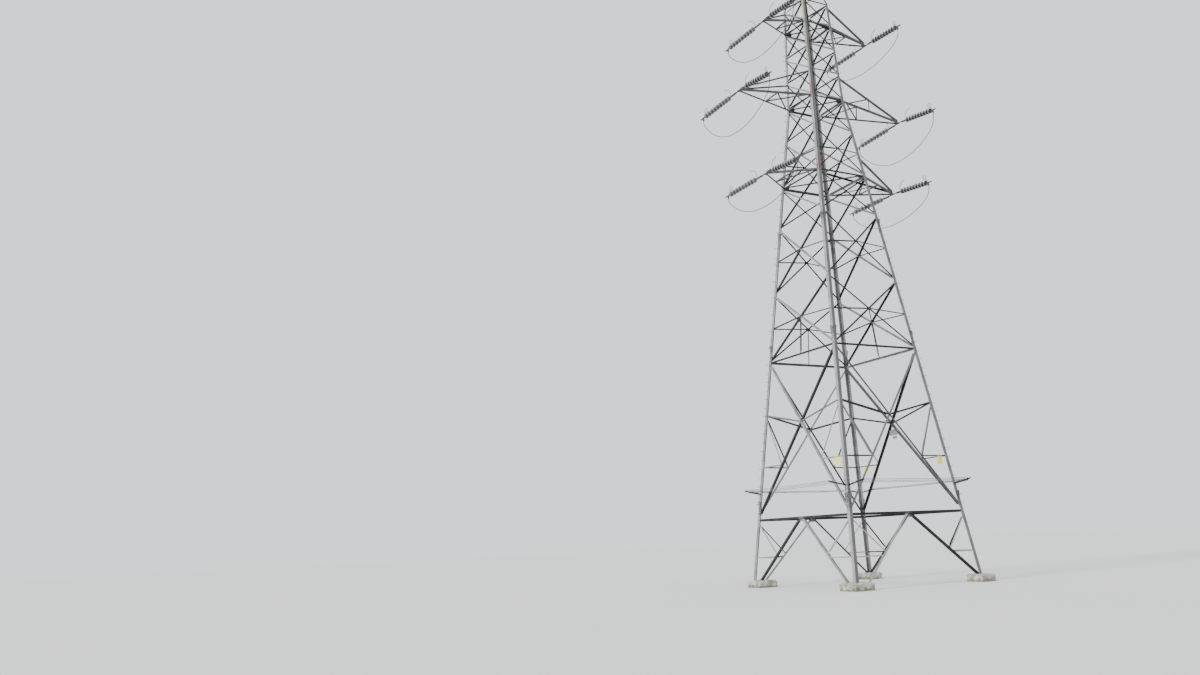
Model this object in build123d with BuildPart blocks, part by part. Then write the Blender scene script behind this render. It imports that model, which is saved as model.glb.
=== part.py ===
"""Lattice transmission tower: an angle tower for two circuits, all in millimetres.

The tower stands on the ground at z = 0 with its axis on the origin. +X points to the outside of
the line's bend, where the arms are longer, and +Y along the line.
"""
from build123d import *
from collections import namedtuple
import math
import os

os.makedirs("parts", exist_ok=True)

# Heights of the joints on the legs
Z_CAP = 300
Z_BEAM = 2800
Z_SPREAD = 7255
Z_WAIST = 9640
Z_SHIN = 12730
Z_KNEE = 15770
Z_BOTTOM_ARM = 17730
Z_BOTTOM_TIE = 18820
Z_LINK = 19880
Z_MIDDLE_ARM = 21530
Z_MIDDLE_TIE = 22830
Z_TOP_LINK = 24080
Z_TOP_ARM = 25360
Z_BODY_TOP = 26530
Z_PEAK = 28700

# Half the width of the body over the outer faces of the legs
HALF_GROUND = 3273
HALF_BEND = 910
HALF_TOP = 730

# Steel angles: flange width and thickness
LEG_SIZE = 150
LEG_UPPER_SIZE = 125
LEG_THICKNESS = 14
BEAM_SIZE = 100
MAIN_SIZE = 90
MIDDLE_SIZE = 75
UPPER_SIZE = 65
TIE_SIZE = 50
CHORD_SIZE = 80
THICKNESS = 8

# How far a bar's gauge point lies from the leg's corner, and how bars share one joint
GAUGE = 70
JOINT_STEP = 95
COPE = 130

# The portal under the lowest beam: share of a raking bar below its joint, and its ties
RAKE_HEAD = 60
RAKE_SHARE = 0.42
RAKE_TIE_SHARE = 0.37
TIE_HEAD_DROP = 150
# How far the feet of the raking bars stand from their legs, by face: left side, right side
RAKE_FEET = {"front": (600, 90), "right": (90, 90), "back": (90, 600), "left": (440, 440)}

# The tall panel: share of a diagonal below the joint of its strut
STRUT_SHARE = 0.55

# The beams and arms at the arm levels hang under their joints
ARM_DROP = 45

# The pyramid on top: half its width at the apex, and the heights of its level bars
PEAK_HALF = 90
PEAK_RAILS = (720, 1400)
PEAK_PLATE = 80

# Foundation caps: their sides, the bevel round their tops, and how far those under the left
# legs reach inward to carry the feet of the raking bars
CAP_LEFT = 900
CAP_RIGHT = 760
CAP_BEVEL = 50
CAP_SHIFT = 230

# Crossarms
Arm = namedtuple("Arm", "side low high reach near_drop far_drop sag")
ARMS = {
    "bottom_arm_left": Arm(-1, Z_BOTTOM_ARM, Z_BOTTOM_TIE, 3180, 7.4, 5.7, 1200),
    "bottom_arm_right": Arm(1, Z_BOTTOM_ARM, Z_BOTTOM_TIE, 4170, 7.6, 4.0, 1200),
    "middle_arm_left": Arm(-1, Z_MIDDLE_ARM, Z_MIDDLE_TIE, 4230, 9.4, 8.7, 1520),
    "middle_arm_right": Arm(1, Z_MIDDLE_ARM, Z_MIDDLE_TIE, 5060, 9.6, 8.0, 1540),
    "top_arm_left": Arm(-1, Z_TOP_ARM, Z_BODY_TOP, 2530, 8.5, 7.2, 1330),
    "top_arm_right": Arm(1, Z_TOP_ARM, Z_BODY_TOP, 3480, 6.6, 5.1, 1120),
}
TIP_HALF = 60
TIP_CHEEK_FROM_END = 110
TIP_CHEEK = 16
TIP_CHEEK_HEIGHT = 170
TIP_PLATE_THICKNESS = 20
# Outline of a tip plate: distance out from the cheek, and along the line
TIP_PLATE = ((0, 110), (60, 110), (110, 180), (150, 180), (170, 60))
CHORD_RISE = 95
BRACE_ROOT = 0.1
BRACE_MIDDLE = 0.51
LONG_BRACE = (0.27, 0.5)

# Level bars across the body: their corner plates
CORNER_PLATE = 300
CORNER_CUT = 120
PLATE_CLEARANCE = 6

# Insulator sets
NEAR_TURN = 2.8
FAR_TURN = 10.8
NEAR_LINK = 350
FAR_LINK = 430
LINK_ROOT = 180
LINK_RADIUS = 15
SHACKLE = (50, 90, 44)
TURNBUCKLE = (26, 150)
DISC_COUNT = 9
DISC_PITCH = 186
DISC_SIDES = 8
# A disc's cap, as radius and height, and its shed: a cone that ends in a rim
DISC_CAP = (48, 62)
SHED_RADIUS = 127
SHED_CONE = 46
SHED_RIM = 16
SHED_LEDGE = 2
PIN_RADIUS = 24
CLAMP_LENGTH = 300
CLAMP_RADIUS = 28
LUG = (44, 70)
LUG_FALL = 150
JUMPER_RADIUS = 14
JUMPER_SIDES = 6

# Route of a jumper from lug to lug: distance along the line from the arm's tip, and the share
# of the loop's sag below the straight line between the lugs
JUMPER_ROUTE = [
    (-2300, 0.0),
    (-2300, 0.16),
    (-2210, 0.33),
    (-2030, 0.49),
    (-1770, 0.63),
    (-1450, 0.755),
    (-1080, 0.865),
    (-700, 0.945),
    (-310, 0.992),
    (80, 1.008),
    (470, 0.99),
    (860, 0.93),
    (1230, 0.83),
    (1570, 0.695),
    (1860, 0.535),
    (2090, 0.37),
    (2255, 0.235),
    (2350, 0.12),
    (2350, 0.0),
]

# Guard against climbing: its brackets on the legs, and its strands
GUARD_LEVEL = 3930
GUARD_REACH = 850
GUARD_RISE = 150
GUARD_INSET = 75
GUARD_SIZE = 50
GUARD_THICKNESS = 6
STRANDS = (250, 500, 750)
STRAND_RADIUS = 6
STRAND_SIDES = 6
STRAND_OVERHANG = 60


def half_width(z):
    """Half the body's width at height z, over the legs' outer faces."""
    if z <= Z_MIDDLE_ARM:
        return HALF_GROUND + (HALF_BEND - HALF_GROUND) * z / Z_MIDDLE_ARM
    return HALF_BEND + (HALF_TOP - HALF_BEND) * (z - Z_MIDDLE_ARM) / (Z_BODY_TOP - Z_MIDDLE_ARM)


def on_face(s, z):
    """A point of the front face's bracing plane, s from its middle, on the legs' inner side."""
    return Vector(s, LEG_THICKNESS - half_width(z), z)


def at_leg(side, z):
    """The gauge point on the leg at that side of the front face."""
    return on_face(side * (half_width(z) - GAUGE), z)


def between(first, second, share):
    """The point at that share of the way from first to second."""
    return first + (second - first) * share


def face_normal(z):
    """The way inward from the front face at height z."""
    if z < Z_MIDDLE_ARM:
        slope = (HALF_GROUND - HALF_BEND) / Z_MIDDLE_ARM
    else:
        slope = (HALF_BEND - HALF_TOP) / (Z_BODY_TOP - Z_MIDDLE_ARM)
    return Vector(0, 1, -slope).normalized()


def angle_bar(start, end, inward, size, cope=COPE, thickness=THICKNESS):
    """A steel angle: one flange flat in the face, the other standing inward, cut back at the ends."""
    along = (end - start).normalized()
    inward = (inward - along * inward.dot(along)).normalized()
    length = (end - start).length
    half = size / 2
    with BuildPart() as bar:
        with BuildSketch(Plane(origin=start, x_dir=inward.cross(along), z_dir=along)):
            with Locations((0, thickness / 2)):
                Rectangle(size, thickness)
        extrude(amount=length)
        if length > 2.5 * cope + size:
            near = start + along * cope
            with BuildSketch(Plane(origin=near, x_dir=inward.cross(along), z_dir=along)):
                with Locations((half - thickness / 2, half)):
                    Rectangle(thickness, size)
            extrude(amount=length - 2 * cope)
    return bar.part


def beam(z, size):
    """A level angle across the front face, its upper flange lying flat and level."""
    normal = face_normal(z)
    end = half_width(z) - GAUGE / 2
    inner = half_width(z) - LEG_THICKNESS
    lean = -normal.Z / normal.Y
    low = z - size / 2
    high = z + size / 2
    with BuildPart() as bar:
        with BuildSketch(Plane.YZ.offset(-end)):
            Polygon(
                (-inner + lean * (low - z), low),
                (-inner + lean * (high - z), high),
                (-inner + lean * (high - z) + THICKNESS, high),
                (-inner + lean * (low - z) + THICKNESS, low),
                align=None,
            )
        extrude(amount=2 * end)
        with BuildSketch(Plane.YZ.offset(COPE + GAUGE - end)):
            Polygon(
                (-inner + lean * (high - z), high),
                (-inner + lean * (high - z) + size, high),
                (-inner + lean * (high - z) + size, high - THICKNESS),
                (-inner + lean * (high - THICKNESS - z), high - THICKNESS),
                align=None,
            )
        extrude(amount=2 * (end - COPE - GAUGE))
    return bar.part


def crossed_panel(low, high, size):
    """Two crossed diagonals between the joints at heights low and high."""
    normal = face_normal((low + high) / 2)
    bars = []
    for side in (-1, 1):
        foot = at_leg(side, low + JOINT_STEP)
        head = at_leg(-side, high - JOINT_STEP)
        bars.append(angle_bar(foot, head, normal, size))
    return bars


def crossing(low, high):
    """Where the diagonals of crossed_panel meet."""
    foot = at_leg(-1, low + JOINT_STEP)
    head = at_leg(1, high - JOINT_STEP)
    return between(foot, head, foot.X / (foot.X - head.X))


def ties_to_crossing(low, high, joint):
    """Light bars from the joint on each leg to the middle of a crossed panel."""
    normal = face_normal((low + high) / 2)
    return [angle_bar(at_leg(side, joint), crossing(low, high), normal, TIE_SIZE) for side in (-1, 1)]


def fused(bars):
    """One solid from the bars that cross each other."""
    with BuildPart() as lattice:
        add(bars)
    return lattice.part


def base_face(feet):
    """Bottom panel: a beam and two raking bars from its middle to the caps, tied to the legs."""
    normal = face_normal(0)
    bars = [beam(Z_BEAM, BEAM_SIZE)]
    for side, foot_from_leg in zip((-1, 1), feet):
        head = on_face(side * RAKE_HEAD, Z_BEAM)
        foot = on_face(side * (half_width(Z_CAP) - GAUGE - foot_from_leg), Z_CAP)
        middle = between(foot, head, RAKE_SHARE)
        bars.append(angle_bar(between(foot, head, -0.05), head, normal, MAIN_SIZE))
        bars.append(angle_bar(middle, at_leg(side, Z_BEAM - TIE_HEAD_DROP), normal, TIE_SIZE))
        low_tie = between(foot, head, RAKE_TIE_SHARE)
        bars.append(angle_bar(low_tie, at_leg(side, low_tie.Z), normal, TIE_SIZE))
    with BuildPart() as face:
        add(bars)
        split(bisect_by=Plane.XY.offset(Z_CAP), keep=Keep.TOP)
    return face.part


def lower_face():
    """The tall crossed panel and its ties."""
    normal = face_normal(0)
    low = Z_BEAM + JOINT_STEP
    centre = crossing(low, Z_WAIST)
    bars = crossed_panel(low, Z_WAIST, MAIN_SIZE)
    for side in (-1, 1):
        foot = at_leg(side, low + JOINT_STEP)
        joint = between(foot, centre, STRUT_SHARE)
        bars.append(angle_bar(at_leg(side, Z_SPREAD + JOINT_STEP / 2), centre, normal, MIDDLE_SIZE))
        bars.append(angle_bar(at_leg(side, Z_SPREAD - JOINT_STEP / 2), joint, normal, TIE_SIZE))
        bars.append(angle_bar(at_leg(side, joint.Z), joint, normal, TIE_SIZE))
    return fused(bars)


def middle_face():
    """The waist beam with its hanger, and three crossed panels up to the bottom arms."""
    hanger = angle_bar(on_face(0, Z_WAIST), crossing(Z_WAIST, Z_SHIN), face_normal(0), TIE_SIZE)
    bars = [beam(Z_WAIST, MAIN_SIZE), hanger]
    bars += crossed_panel(Z_WAIST, Z_SHIN, MIDDLE_SIZE)
    bars += ties_to_crossing(Z_WAIST, Z_SHIN, (Z_WAIST + Z_SHIN) / 2)
    bars += crossed_panel(Z_SHIN, Z_KNEE, MIDDLE_SIZE)
    bars += ties_to_crossing(Z_SHIN, Z_KNEE, (Z_SHIN + Z_KNEE) / 2)
    bars += crossed_panel(Z_KNEE, Z_BOTTOM_ARM - ARM_DROP, UPPER_SIZE)
    return fused(bars)


def upper_face():
    """The crossed panels and beams between the bottom arms and the middle arms."""
    bars = [beam(Z_BOTTOM_ARM - ARM_DROP, MAIN_SIZE)]
    bars += crossed_panel(Z_BOTTOM_ARM, Z_LINK, UPPER_SIZE)
    bars += ties_to_crossing(Z_BOTTOM_ARM, Z_LINK, Z_BOTTOM_TIE)
    bars += crossed_panel(Z_LINK, Z_MIDDLE_ARM - ARM_DROP, UPPER_SIZE)
    return fused(bars)


def top_face():
    """The small crossed panels and beams from the middle arms to the top of the body."""
    bars = [
        beam(Z_MIDDLE_ARM - ARM_DROP, MIDDLE_SIZE),
        beam(Z_TOP_ARM - ARM_DROP, MIDDLE_SIZE),
        beam(Z_BODY_TOP - ARM_DROP, UPPER_SIZE),
    ]
    for low, high in (
        (Z_MIDDLE_ARM, Z_MIDDLE_TIE),
        (Z_MIDDLE_TIE, Z_TOP_LINK),
        (Z_TOP_LINK, Z_TOP_ARM),
        (Z_TOP_ARM, Z_BODY_TOP),
    ):
        bars += crossed_panel(low, high, UPPER_SIZE)
    return fused(bars)


def corner_outline(corner, size, thickness):
    """Section of an angle whose heel stands on the body's corner."""
    inner = corner - thickness
    inset = corner - size
    return [
        (corner, corner),
        (inset, corner),
        (inset, inner),
        (inner, inner),
        (inner, inset),
        (corner, inset),
    ]


def leg(across, along):
    """One corner leg: a heavy angle to the bend, a lighter one above it."""
    stages = (
        (Z_CAP, Z_MIDDLE_ARM, LEG_SIZE),
        (Z_MIDDLE_ARM, Z_BODY_TOP, LEG_UPPER_SIZE),
    )
    with BuildPart() as post:
        for low, high, size in stages:
            outline = corner_outline(half_width(low), size, LEG_THICKNESS)
            shift = half_width(high) - half_width(low)
            rise = Vector(across * shift, along * shift, high - low)
            with BuildSketch(Plane.XY.offset(low)):
                Polygon([(across * x, along * y) for x, y in outline], align=None)
            extrude(amount=rise.length, dir=rise.normalized())
    return post.part


def foundation_caps():
    """The concrete cap at each leg, with its top edges bevelled to shed water."""
    centre = half_width(0) - GAUGE
    with BuildPart() as caps:
        for along in (-1, 1):
            spot = centre - CAP_SHIFT
            with Locations((-spot, along * spot, 0)):
                Box(CAP_LEFT, CAP_LEFT, Z_CAP, align=(Align.CENTER, Align.CENTER, Align.MIN))
            with Locations((centre, along * centre, 0)):
                Box(CAP_RIGHT, CAP_RIGHT, Z_CAP, align=(Align.CENTER, Align.CENTER, Align.MIN))
        chamfer(caps.faces().group_by(Axis.Z)[-1].edges(), length=CAP_BEVEL)
    return caps.part


def arm_wall(arm):
    """The outer face of the body at an arm's root."""
    floor = arm.low - ARM_DROP
    slope = (half_width(floor) - half_width(arm.high)) / (arm.high - floor)
    return Plane(
        origin=(arm.side * half_width(floor), 0, floor),
        x_dir=(0, 1, 0),
        z_dir=Vector(arm.side, 0, slope).normalized(),
    )


def lower_chord(arm, edge):
    """The line of a lower chord, from inside the leg to the tip."""
    root = half_width(arm.low) - GAUGE
    level = arm.low - ARM_DROP
    return (
        Vector(arm.side * (root - GAUGE), edge * root, level),
        Vector(arm.side * (arm.reach - TIP_CHEEK_FROM_END), edge * TIP_HALF, level),
    )


def upper_chord(arm, edge):
    """The line of an upper chord, from inside the leg to past the cheek at the tip."""
    root = half_width(arm.high) - GAUGE
    return (
        Vector(arm.side * (root - GAUGE), edge * root, arm.high - ARM_DROP),
        Vector(arm.side * arm.reach, edge * TIP_HALF, arm.low - ARM_DROP + CHORD_RISE),
    )


def chord_bar(root, tip, edge, inward, size):
    """A chord whose standing flange is on the arm's outer side."""
    outer = edge * (tip.X - root.X) > 0
    ends = (root, tip) if outer else (tip, root)
    return angle_bar(*ends, inward, size, cope=0)


def crossarm(arm, long_arm=False):
    """The flat lower frame of an arm: two chords, the bars between them, cheek and tip plate."""
    up = Vector(0, 0, 1)
    front = lower_chord(arm, -1)
    back = lower_chord(arm, 1)
    bars = [chord_bar(*front, -1, up, CHORD_SIZE), chord_bar(*back, 1, up, CHORD_SIZE)]
    if long_arm:
        nodes = [between(*front, LONG_BRACE[0]), between(*back, LONG_BRACE[1])]
        route = [between(*back, BRACE_ROOT), *nodes, between(*front, BRACE_ROOT)]
        pairs = [(route[0], route[1]), (route[1], route[2]), (route[2], route[3])]
    else:
        pairs = [
            (between(*back, BRACE_ROOT), between(*front, BRACE_MIDDLE)),
            (between(*front, BRACE_ROOT), between(*back, BRACE_MIDDLE)),
            (between(*front, BRACE_MIDDLE), between(*back, BRACE_MIDDLE)),
        ]
    bars += [angle_bar(start, end, up, TIE_SIZE, cope=CHORD_SIZE / 2) for start, end in pairs]
    cheek_at = arm.reach - TIP_CHEEK_FROM_END
    level = arm.low - ARM_DROP
    plate = [(arm.side * (cheek_at + out), across) for out, across in TIP_PLATE]
    plate += [(x, -across) for x, across in reversed(plate)]
    with BuildPart() as frame:
        add(bars)
        with BuildSketch(Plane.XY.offset(level)):
            Polygon(plate, align=None)
        extrude(amount=TIP_PLATE_THICKNESS)
        with Locations((arm.side * (cheek_at + TIP_CHEEK / 2), 0, level)):
            Box(
                TIP_CHEEK,
                2 * TIP_HALF + CHORD_SIZE,
                TIP_CHEEK_HEIGHT,
                align=(Align.CENTER, Align.CENTER, Align.MIN),
            )
        split(bisect_by=arm_wall(arm), keep=Keep.TOP)
    return frame.part


def side_braces(arm, edge):
    """The post and the diagonal between the chords on one side of the longest arm."""
    low_root, low_tip = lower_chord(arm, edge)
    high = between(*upper_chord(arm, edge), 0.5)
    feet = (between(low_root, low_tip, BRACE_ROOT), between(low_root, low_tip, 0.5))
    outward = Vector(0, -edge, 0)
    floor = Plane.XY.offset(arm.low - ARM_DROP + CHORD_SIZE)
    with BuildPart() as braces:
        add([angle_bar(foot, high, outward, TIE_SIZE, cope=COPE / 2) for foot in feet])
        split(bisect_by=floor, keep=Keep.TOP)
    return braces.part


def arm_upper_chords():
    """The two upper chords of every arm, on the longest arm with the bars that stiffen its sides."""
    with BuildPart() as chords:
        for name, arm in ARMS.items():
            cheek = Plane(
                origin=(arm.side * (arm.reach - TIP_CHEEK_FROM_END), 0, arm.low),
                x_dir=(0, 1, 0),
                z_dir=(-arm.side, 0, 0),
            )
            for edge in (-1, 1):
                root, tip = upper_chord(arm, edge)
                bars = [angle_bar(root, tip, Vector(0, -edge, 0), MIDDLE_SIZE, cope=0)]
                if name == "middle_arm_right":
                    bars.append(side_braces(arm, edge))
                with BuildPart(mode=Mode.PRIVATE) as chord:
                    add(bars)
                    split(bisect_by=arm_wall(arm), keep=Keep.TOP)
                    split(bisect_by=cheek, keep=Keep.TOP)
                add(chord.part)
    return chords.part


def peak():
    """The pyramid over the body that carries the earth wire."""
    shift = PEAK_HALF - HALF_TOP
    rise = Z_PEAK - Z_BODY_TOP
    rails = []
    for height in PEAK_RAILS:
        half = HALF_TOP + shift * height / rise - THICKNESS
        end = half - UPPER_SIZE / 2
        for turn in range(4):
            start = Vector(-end, -half, Z_BODY_TOP + height).rotate(Axis.Z, 90 * turn)
            stop = Vector(end, -half, Z_BODY_TOP + height).rotate(Axis.Z, 90 * turn)
            inward = Vector(0, 1, 0).rotate(Axis.Z, 90 * turn)
            rails.append(angle_bar(start, stop, inward, TIE_SIZE, cope=COPE / 2))
    outline = corner_outline(HALF_TOP, UPPER_SIZE, THICKNESS)
    with BuildPart() as top:
        for across in (-1, 1):
            for along in (-1, 1):
                slant = Vector(across * shift, along * shift, rise)
                with BuildSketch(Plane.XY.offset(Z_BODY_TOP)):
                    Polygon([(across * x, along * y) for x, y in outline], align=None)
                extrude(amount=slant.length, dir=slant.normalized())
        add(rails)
        with Locations((0, 0, Z_PEAK)):
            Box(2 * PEAK_HALF, 2 * PEAK_HALF, PEAK_PLATE, align=(Align.CENTER, Align.CENTER, Align.MAX))
    return top.part


def plan_bracing():
    """A level bar across the body at each arm, from corner plate to corner plate."""
    levels = ((Z_BOTTOM_ARM, MAIN_SIZE), (Z_MIDDLE_ARM, MIDDLE_SIZE), (Z_TOP_ARM, MIDDLE_SIZE))
    with BuildPart() as frames:
        for z, size in levels:
            level = z - ARM_DROP + size / 2
            corner = half_width(level) - LEG_THICKNESS - THICKNESS - PLATE_CLEARANCE
            far = corner - CORNER_PLATE
            cut = corner - CORNER_CUT
            for side in (-1, 1):
                with BuildSketch(Plane.XY.offset(level)):
                    Polygon(
                        (side * corner, -side * corner),
                        (side * far, -side * corner),
                        (side * far, -side * cut),
                        (side * cut, -side * far),
                        (side * corner, -side * far),
                        align=None,
                    )
                extrude(amount=THICKNESS)
            start = Vector(-cut, cut, level)
            end = Vector(cut, -cut, level)
            add(angle_bar(start, end, Vector(0, 0, 1), UPPER_SIZE, cope=0))
    return frames.part


def string_axis(arm, along):
    """The way an insulator string runs from its arm: along the line, a little inward and down."""
    turn = math.radians(FAR_TURN if along > 0 else NEAR_TURN)
    drop = math.radians(arm.far_drop if along > 0 else arm.near_drop)
    flat = math.cos(drop)
    return Vector(-math.sin(turn) * flat, along * math.cos(turn) * flat, -math.sin(drop))


def string_root(arm, along):
    """Where a string's link leaves the plate at the arm's tip."""
    level = arm.low - ARM_DROP + TIP_PLATE_THICKNESS / 2
    return Vector(arm.side * (arm.reach + LINK_RADIUS), along * LINK_ROOT, level)


def every_string():
    """Root point, axis and link length of all twelve strings."""
    for arm in ARMS.values():
        for along in (-1, 1):
            link = FAR_LINK if along > 0 else NEAR_LINK
            yield string_root(arm, along), string_axis(arm, along), link, along


def axis_plane(origin, axis):
    """A plane square to a string's axis."""
    return Plane(origin=origin, x_dir=Vector(1, 0, 0).cross(axis), z_dir=axis)


def string_links():
    """The shackles and adjustable rods that hold the strings to the arms."""
    width, length, height = SHACKLE
    radius, barrel = TURNBUCKLE
    with BuildPart() as links:
        for root, axis, link, along in every_string():
            with Locations(root + Vector(0, along * length / 2, 0)):
                Box(width, length, height)
            with BuildSketch(axis_plane(root + axis * (length / 2), axis)):
                RegularPolygon(LINK_RADIUS, 8)
            extrude(amount=link - length / 2)
            with BuildSketch(axis_plane(root + axis * ((link - barrel) / 2), axis)):
                RegularPolygon(radius, 8)
            extrude(amount=barrel)
    return links.part


def insulator_strings():
    """Twelve strings of cap and pin discs, every disc with its cap, shed and pin."""
    cap_radius, cap_height = DISC_CAP
    flare = (SHED_RADIUS - cap_radius) * math.cos(math.pi / DISC_SIDES) - SHED_LEDGE
    rim_height = cap_height + SHED_CONE + SHED_RIM
    with BuildPart() as shed:
        with BuildSketch(Plane.XY.offset(cap_height)):
            RegularPolygon(SHED_RADIUS, DISC_SIDES)
        extrude(amount=SHED_CONE + SHED_RIM)
        seat = shed.faces().sort_by(Axis.Z)[0]
        chamfer(seat.edges(), length=flare, length2=SHED_CONE, reference=seat)
    with BuildPart() as disc:
        with BuildSketch():
            RegularPolygon(cap_radius, DISC_SIDES)
        extrude(amount=cap_height)
        add(shed.part)
        with BuildSketch(Plane.XY.offset(rim_height)):
            RegularPolygon(PIN_RADIUS, DISC_SIDES)
        extrude(amount=DISC_PITCH - rim_height)
    with BuildPart() as string:
        with Locations([(0, 0, count * DISC_PITCH) for count in range(DISC_COUNT)]):
            add(disc.part)
    with BuildPart() as strings:
        for root, axis, link, along in every_string():
            add(axis_plane(root + axis * link, axis).location * string.part)
    return strings.part


def jumper_end(root, axis, link, along):
    """Where a jumper leaves the lug under its clamp."""
    from_tip = JUMPER_ROUTE[-1][0] if along > 0 else JUMPER_ROUTE[0][0]
    spot = root + axis * ((abs(from_tip) - abs(root.Y)) / abs(axis.Y))
    return Vector(spot.X, from_tip, spot.Z - LUG_FALL)


def line_clamps():
    """The clamps that end the line wires, with the lug where the jumper leaves."""
    with BuildPart() as clamps:
        for root, axis, link, along in every_string():
            start = root + axis * (link + DISC_COUNT * DISC_PITCH)
            with BuildSketch(axis_plane(start, axis)):
                RegularPolygon(CLAMP_RADIUS, 8)
            extrude(amount=CLAMP_LENGTH)
            with Locations(jumper_end(root, axis, link, along)):
                Box(*LUG, LUG_FALL, align=(Align.CENTER, Align.CENTER, Align.MIN))
    return clamps.part


def jumper(arm):
    """The loop of wire under an arm, from the lug of one clamp to the lug of the other."""
    ends = {}
    for along in (-1, 1):
        link = FAR_LINK if along > 0 else NEAR_LINK
        ends[along] = jumper_end(string_root(arm, along), string_axis(arm, along), link, along)
    near, far = ends[-1], ends[1]
    points = []
    for along_line, share in JUMPER_ROUTE:
        chord = between(near, far, (along_line - near.Y) / (far.Y - near.Y))
        points.append(chord - Vector(0, 0, share * arm.sag))
    radii = []
    for before, corner, after in zip(points, points[1:], points[2:]):
        into = corner - before
        out = after - corner
        turn = math.radians(into.get_angle(out))
        radii.append(0.45 * min(into.length, out.length) / math.tan(turn / 2))
    with BuildPart() as wire:
        with BuildLine():
            FilletPolyline(*points, radius=radii)
        with BuildSketch(Plane(origin=points[0], z_dir=points[1] - points[0])):
            RegularPolygon(JUMPER_RADIUS, JUMPER_SIDES)
        sweep()
    print("smallest bend of the jumper", round(min(radii)))
    return wire.part


def guard_bracket_line(side):
    """The line of a guard bracket that stands out from the front face at a leg."""
    leg_face = half_width(GUARD_LEVEL)
    spot = side * (leg_face - GUARD_INSET)
    return (
        Vector(spot, -leg_face, GUARD_LEVEL),
        Vector(spot, -leg_face - GUARD_REACH, GUARD_LEVEL + GUARD_RISE),
    )


def guard_brackets():
    """Two brackets on every leg, standing out square to its two faces."""
    normal = face_normal(0)
    wall = Plane(
        origin=(0, -half_width(GUARD_LEVEL), GUARD_LEVEL),
        x_dir=(1, 0, 0),
        z_dir=normal * -1,
    )
    with BuildPart() as brackets:
        for side in (-1, 1):
            start, end = guard_bracket_line(side)
            start = between(start, end, -0.1)
            with BuildPart(mode=Mode.PRIVATE) as bracket:
                add(angle_bar(end, start, Vector(0, 0, -1), GUARD_SIZE, 0, GUARD_THICKNESS))
                split(bisect_by=wall, keep=Keep.TOP)
            for turn in range(4):
                add(Rot(0, 0, 90 * turn) * bracket.part)
    return brackets.part


def guard_wires():
    """The strands that lie on the brackets round all four faces."""
    start, end = guard_bracket_line(1)
    along = (end - start).normalized()
    up = Vector(1, 0, 0).cross(along).normalized()
    if up.Z < 0:
        up = up * -1
    reach = start.X + STRAND_OVERHANG
    with BuildPart() as wires:
        for out in STRANDS:
            spot = start + along * out + up * (STRAND_RADIUS * math.cos(math.pi / STRAND_SIDES))
            with BuildPart(mode=Mode.PRIVATE) as strand:
                with BuildSketch(Plane(origin=(-reach, spot.Y, spot.Z), x_dir=along, z_dir=(1, 0, 0))):
                    RegularPolygon(STRAND_RADIUS, STRAND_SIDES)
                extrude(amount=2 * reach)
            for turn in range(4):
                add(Rot(0, 0, 90 * turn) * strand.part)
    return wires.part


def keep_part(shape, name):
    """Write one named piece."""
    shape.label = name
    export_step(shape, "parts/" + name + ".step")


FACE_TURNS = {"front": 0, "right": 90, "back": 180, "left": 270}
LEG_CORNERS = {
    "leg_front_left": (-1, -1),
    "leg_front_right": (1, -1),
    "leg_back_left": (-1, 1),
    "leg_back_right": (1, 1),
}

for leg_name, corner_signs in LEG_CORNERS.items():
    keep_part(leg(*corner_signs), leg_name)

keep_part(foundation_caps(), "foundation_caps")

for face_name, turn_angle in FACE_TURNS.items():
    base_part = base_face(RAKE_FEET[face_name])
    keep_part(Rot(0, 0, turn_angle) * base_part, "base_bracing_" + face_name)

FACE_PARTS = {
    "lower_bracing": lower_face(),
    "middle_bracing": middle_face(),
    "upper_bracing": upper_face(),
    "top_bracing": top_face(),
}
for part_name, face_part in FACE_PARTS.items():
    for face_name, turn_angle in FACE_TURNS.items():
        keep_part(Rot(0, 0, turn_angle) * face_part, part_name + "_" + face_name)

for arm_name, arm_row in ARMS.items():
    keep_part(crossarm(arm_row, arm_name == "middle_arm_right"), arm_name)
    keep_part(jumper(arm_row), arm_name.replace("arm", "jumper"))

keep_part(arm_upper_chords(), "arm_upper_chords")
keep_part(peak(), "earth_wire_peak")
keep_part(plan_bracing(), "plan_bracing")
keep_part(string_links(), "string_links")
keep_part(insulator_strings(), "insulator_strings")
keep_part(line_clamps(), "line_clamps")
keep_part(guard_brackets(), "guard_brackets")
keep_part(guard_wires(), "guard_wires")
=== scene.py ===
"""Looks of a lattice transmission tower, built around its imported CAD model, in metres.

The tower stands on the origin. +X points to the outside of the line's bend and +Y along the line.
"""
from __future__ import annotations

import logging
import math
import random
from dataclasses import dataclass, field
from enum import Enum

import bpy
from mathutils import Matrix, Vector

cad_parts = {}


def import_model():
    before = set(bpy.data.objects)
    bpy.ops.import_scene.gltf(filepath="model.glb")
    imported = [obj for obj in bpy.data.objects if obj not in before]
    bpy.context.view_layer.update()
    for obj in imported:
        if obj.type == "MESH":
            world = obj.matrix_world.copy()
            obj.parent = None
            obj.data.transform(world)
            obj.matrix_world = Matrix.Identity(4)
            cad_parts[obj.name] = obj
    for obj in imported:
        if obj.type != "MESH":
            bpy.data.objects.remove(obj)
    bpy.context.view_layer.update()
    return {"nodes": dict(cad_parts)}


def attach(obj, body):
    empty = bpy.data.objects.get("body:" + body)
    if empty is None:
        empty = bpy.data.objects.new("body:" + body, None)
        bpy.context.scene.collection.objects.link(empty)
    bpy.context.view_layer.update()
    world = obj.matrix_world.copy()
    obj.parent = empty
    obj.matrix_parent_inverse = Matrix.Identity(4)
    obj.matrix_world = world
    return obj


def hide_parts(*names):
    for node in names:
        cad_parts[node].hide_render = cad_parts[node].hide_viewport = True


LOG = logging.getLogger("tower")
Flat = tuple[float, float]
Point = tuple[float, float, float]
Colour = tuple[float, float, float]
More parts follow.
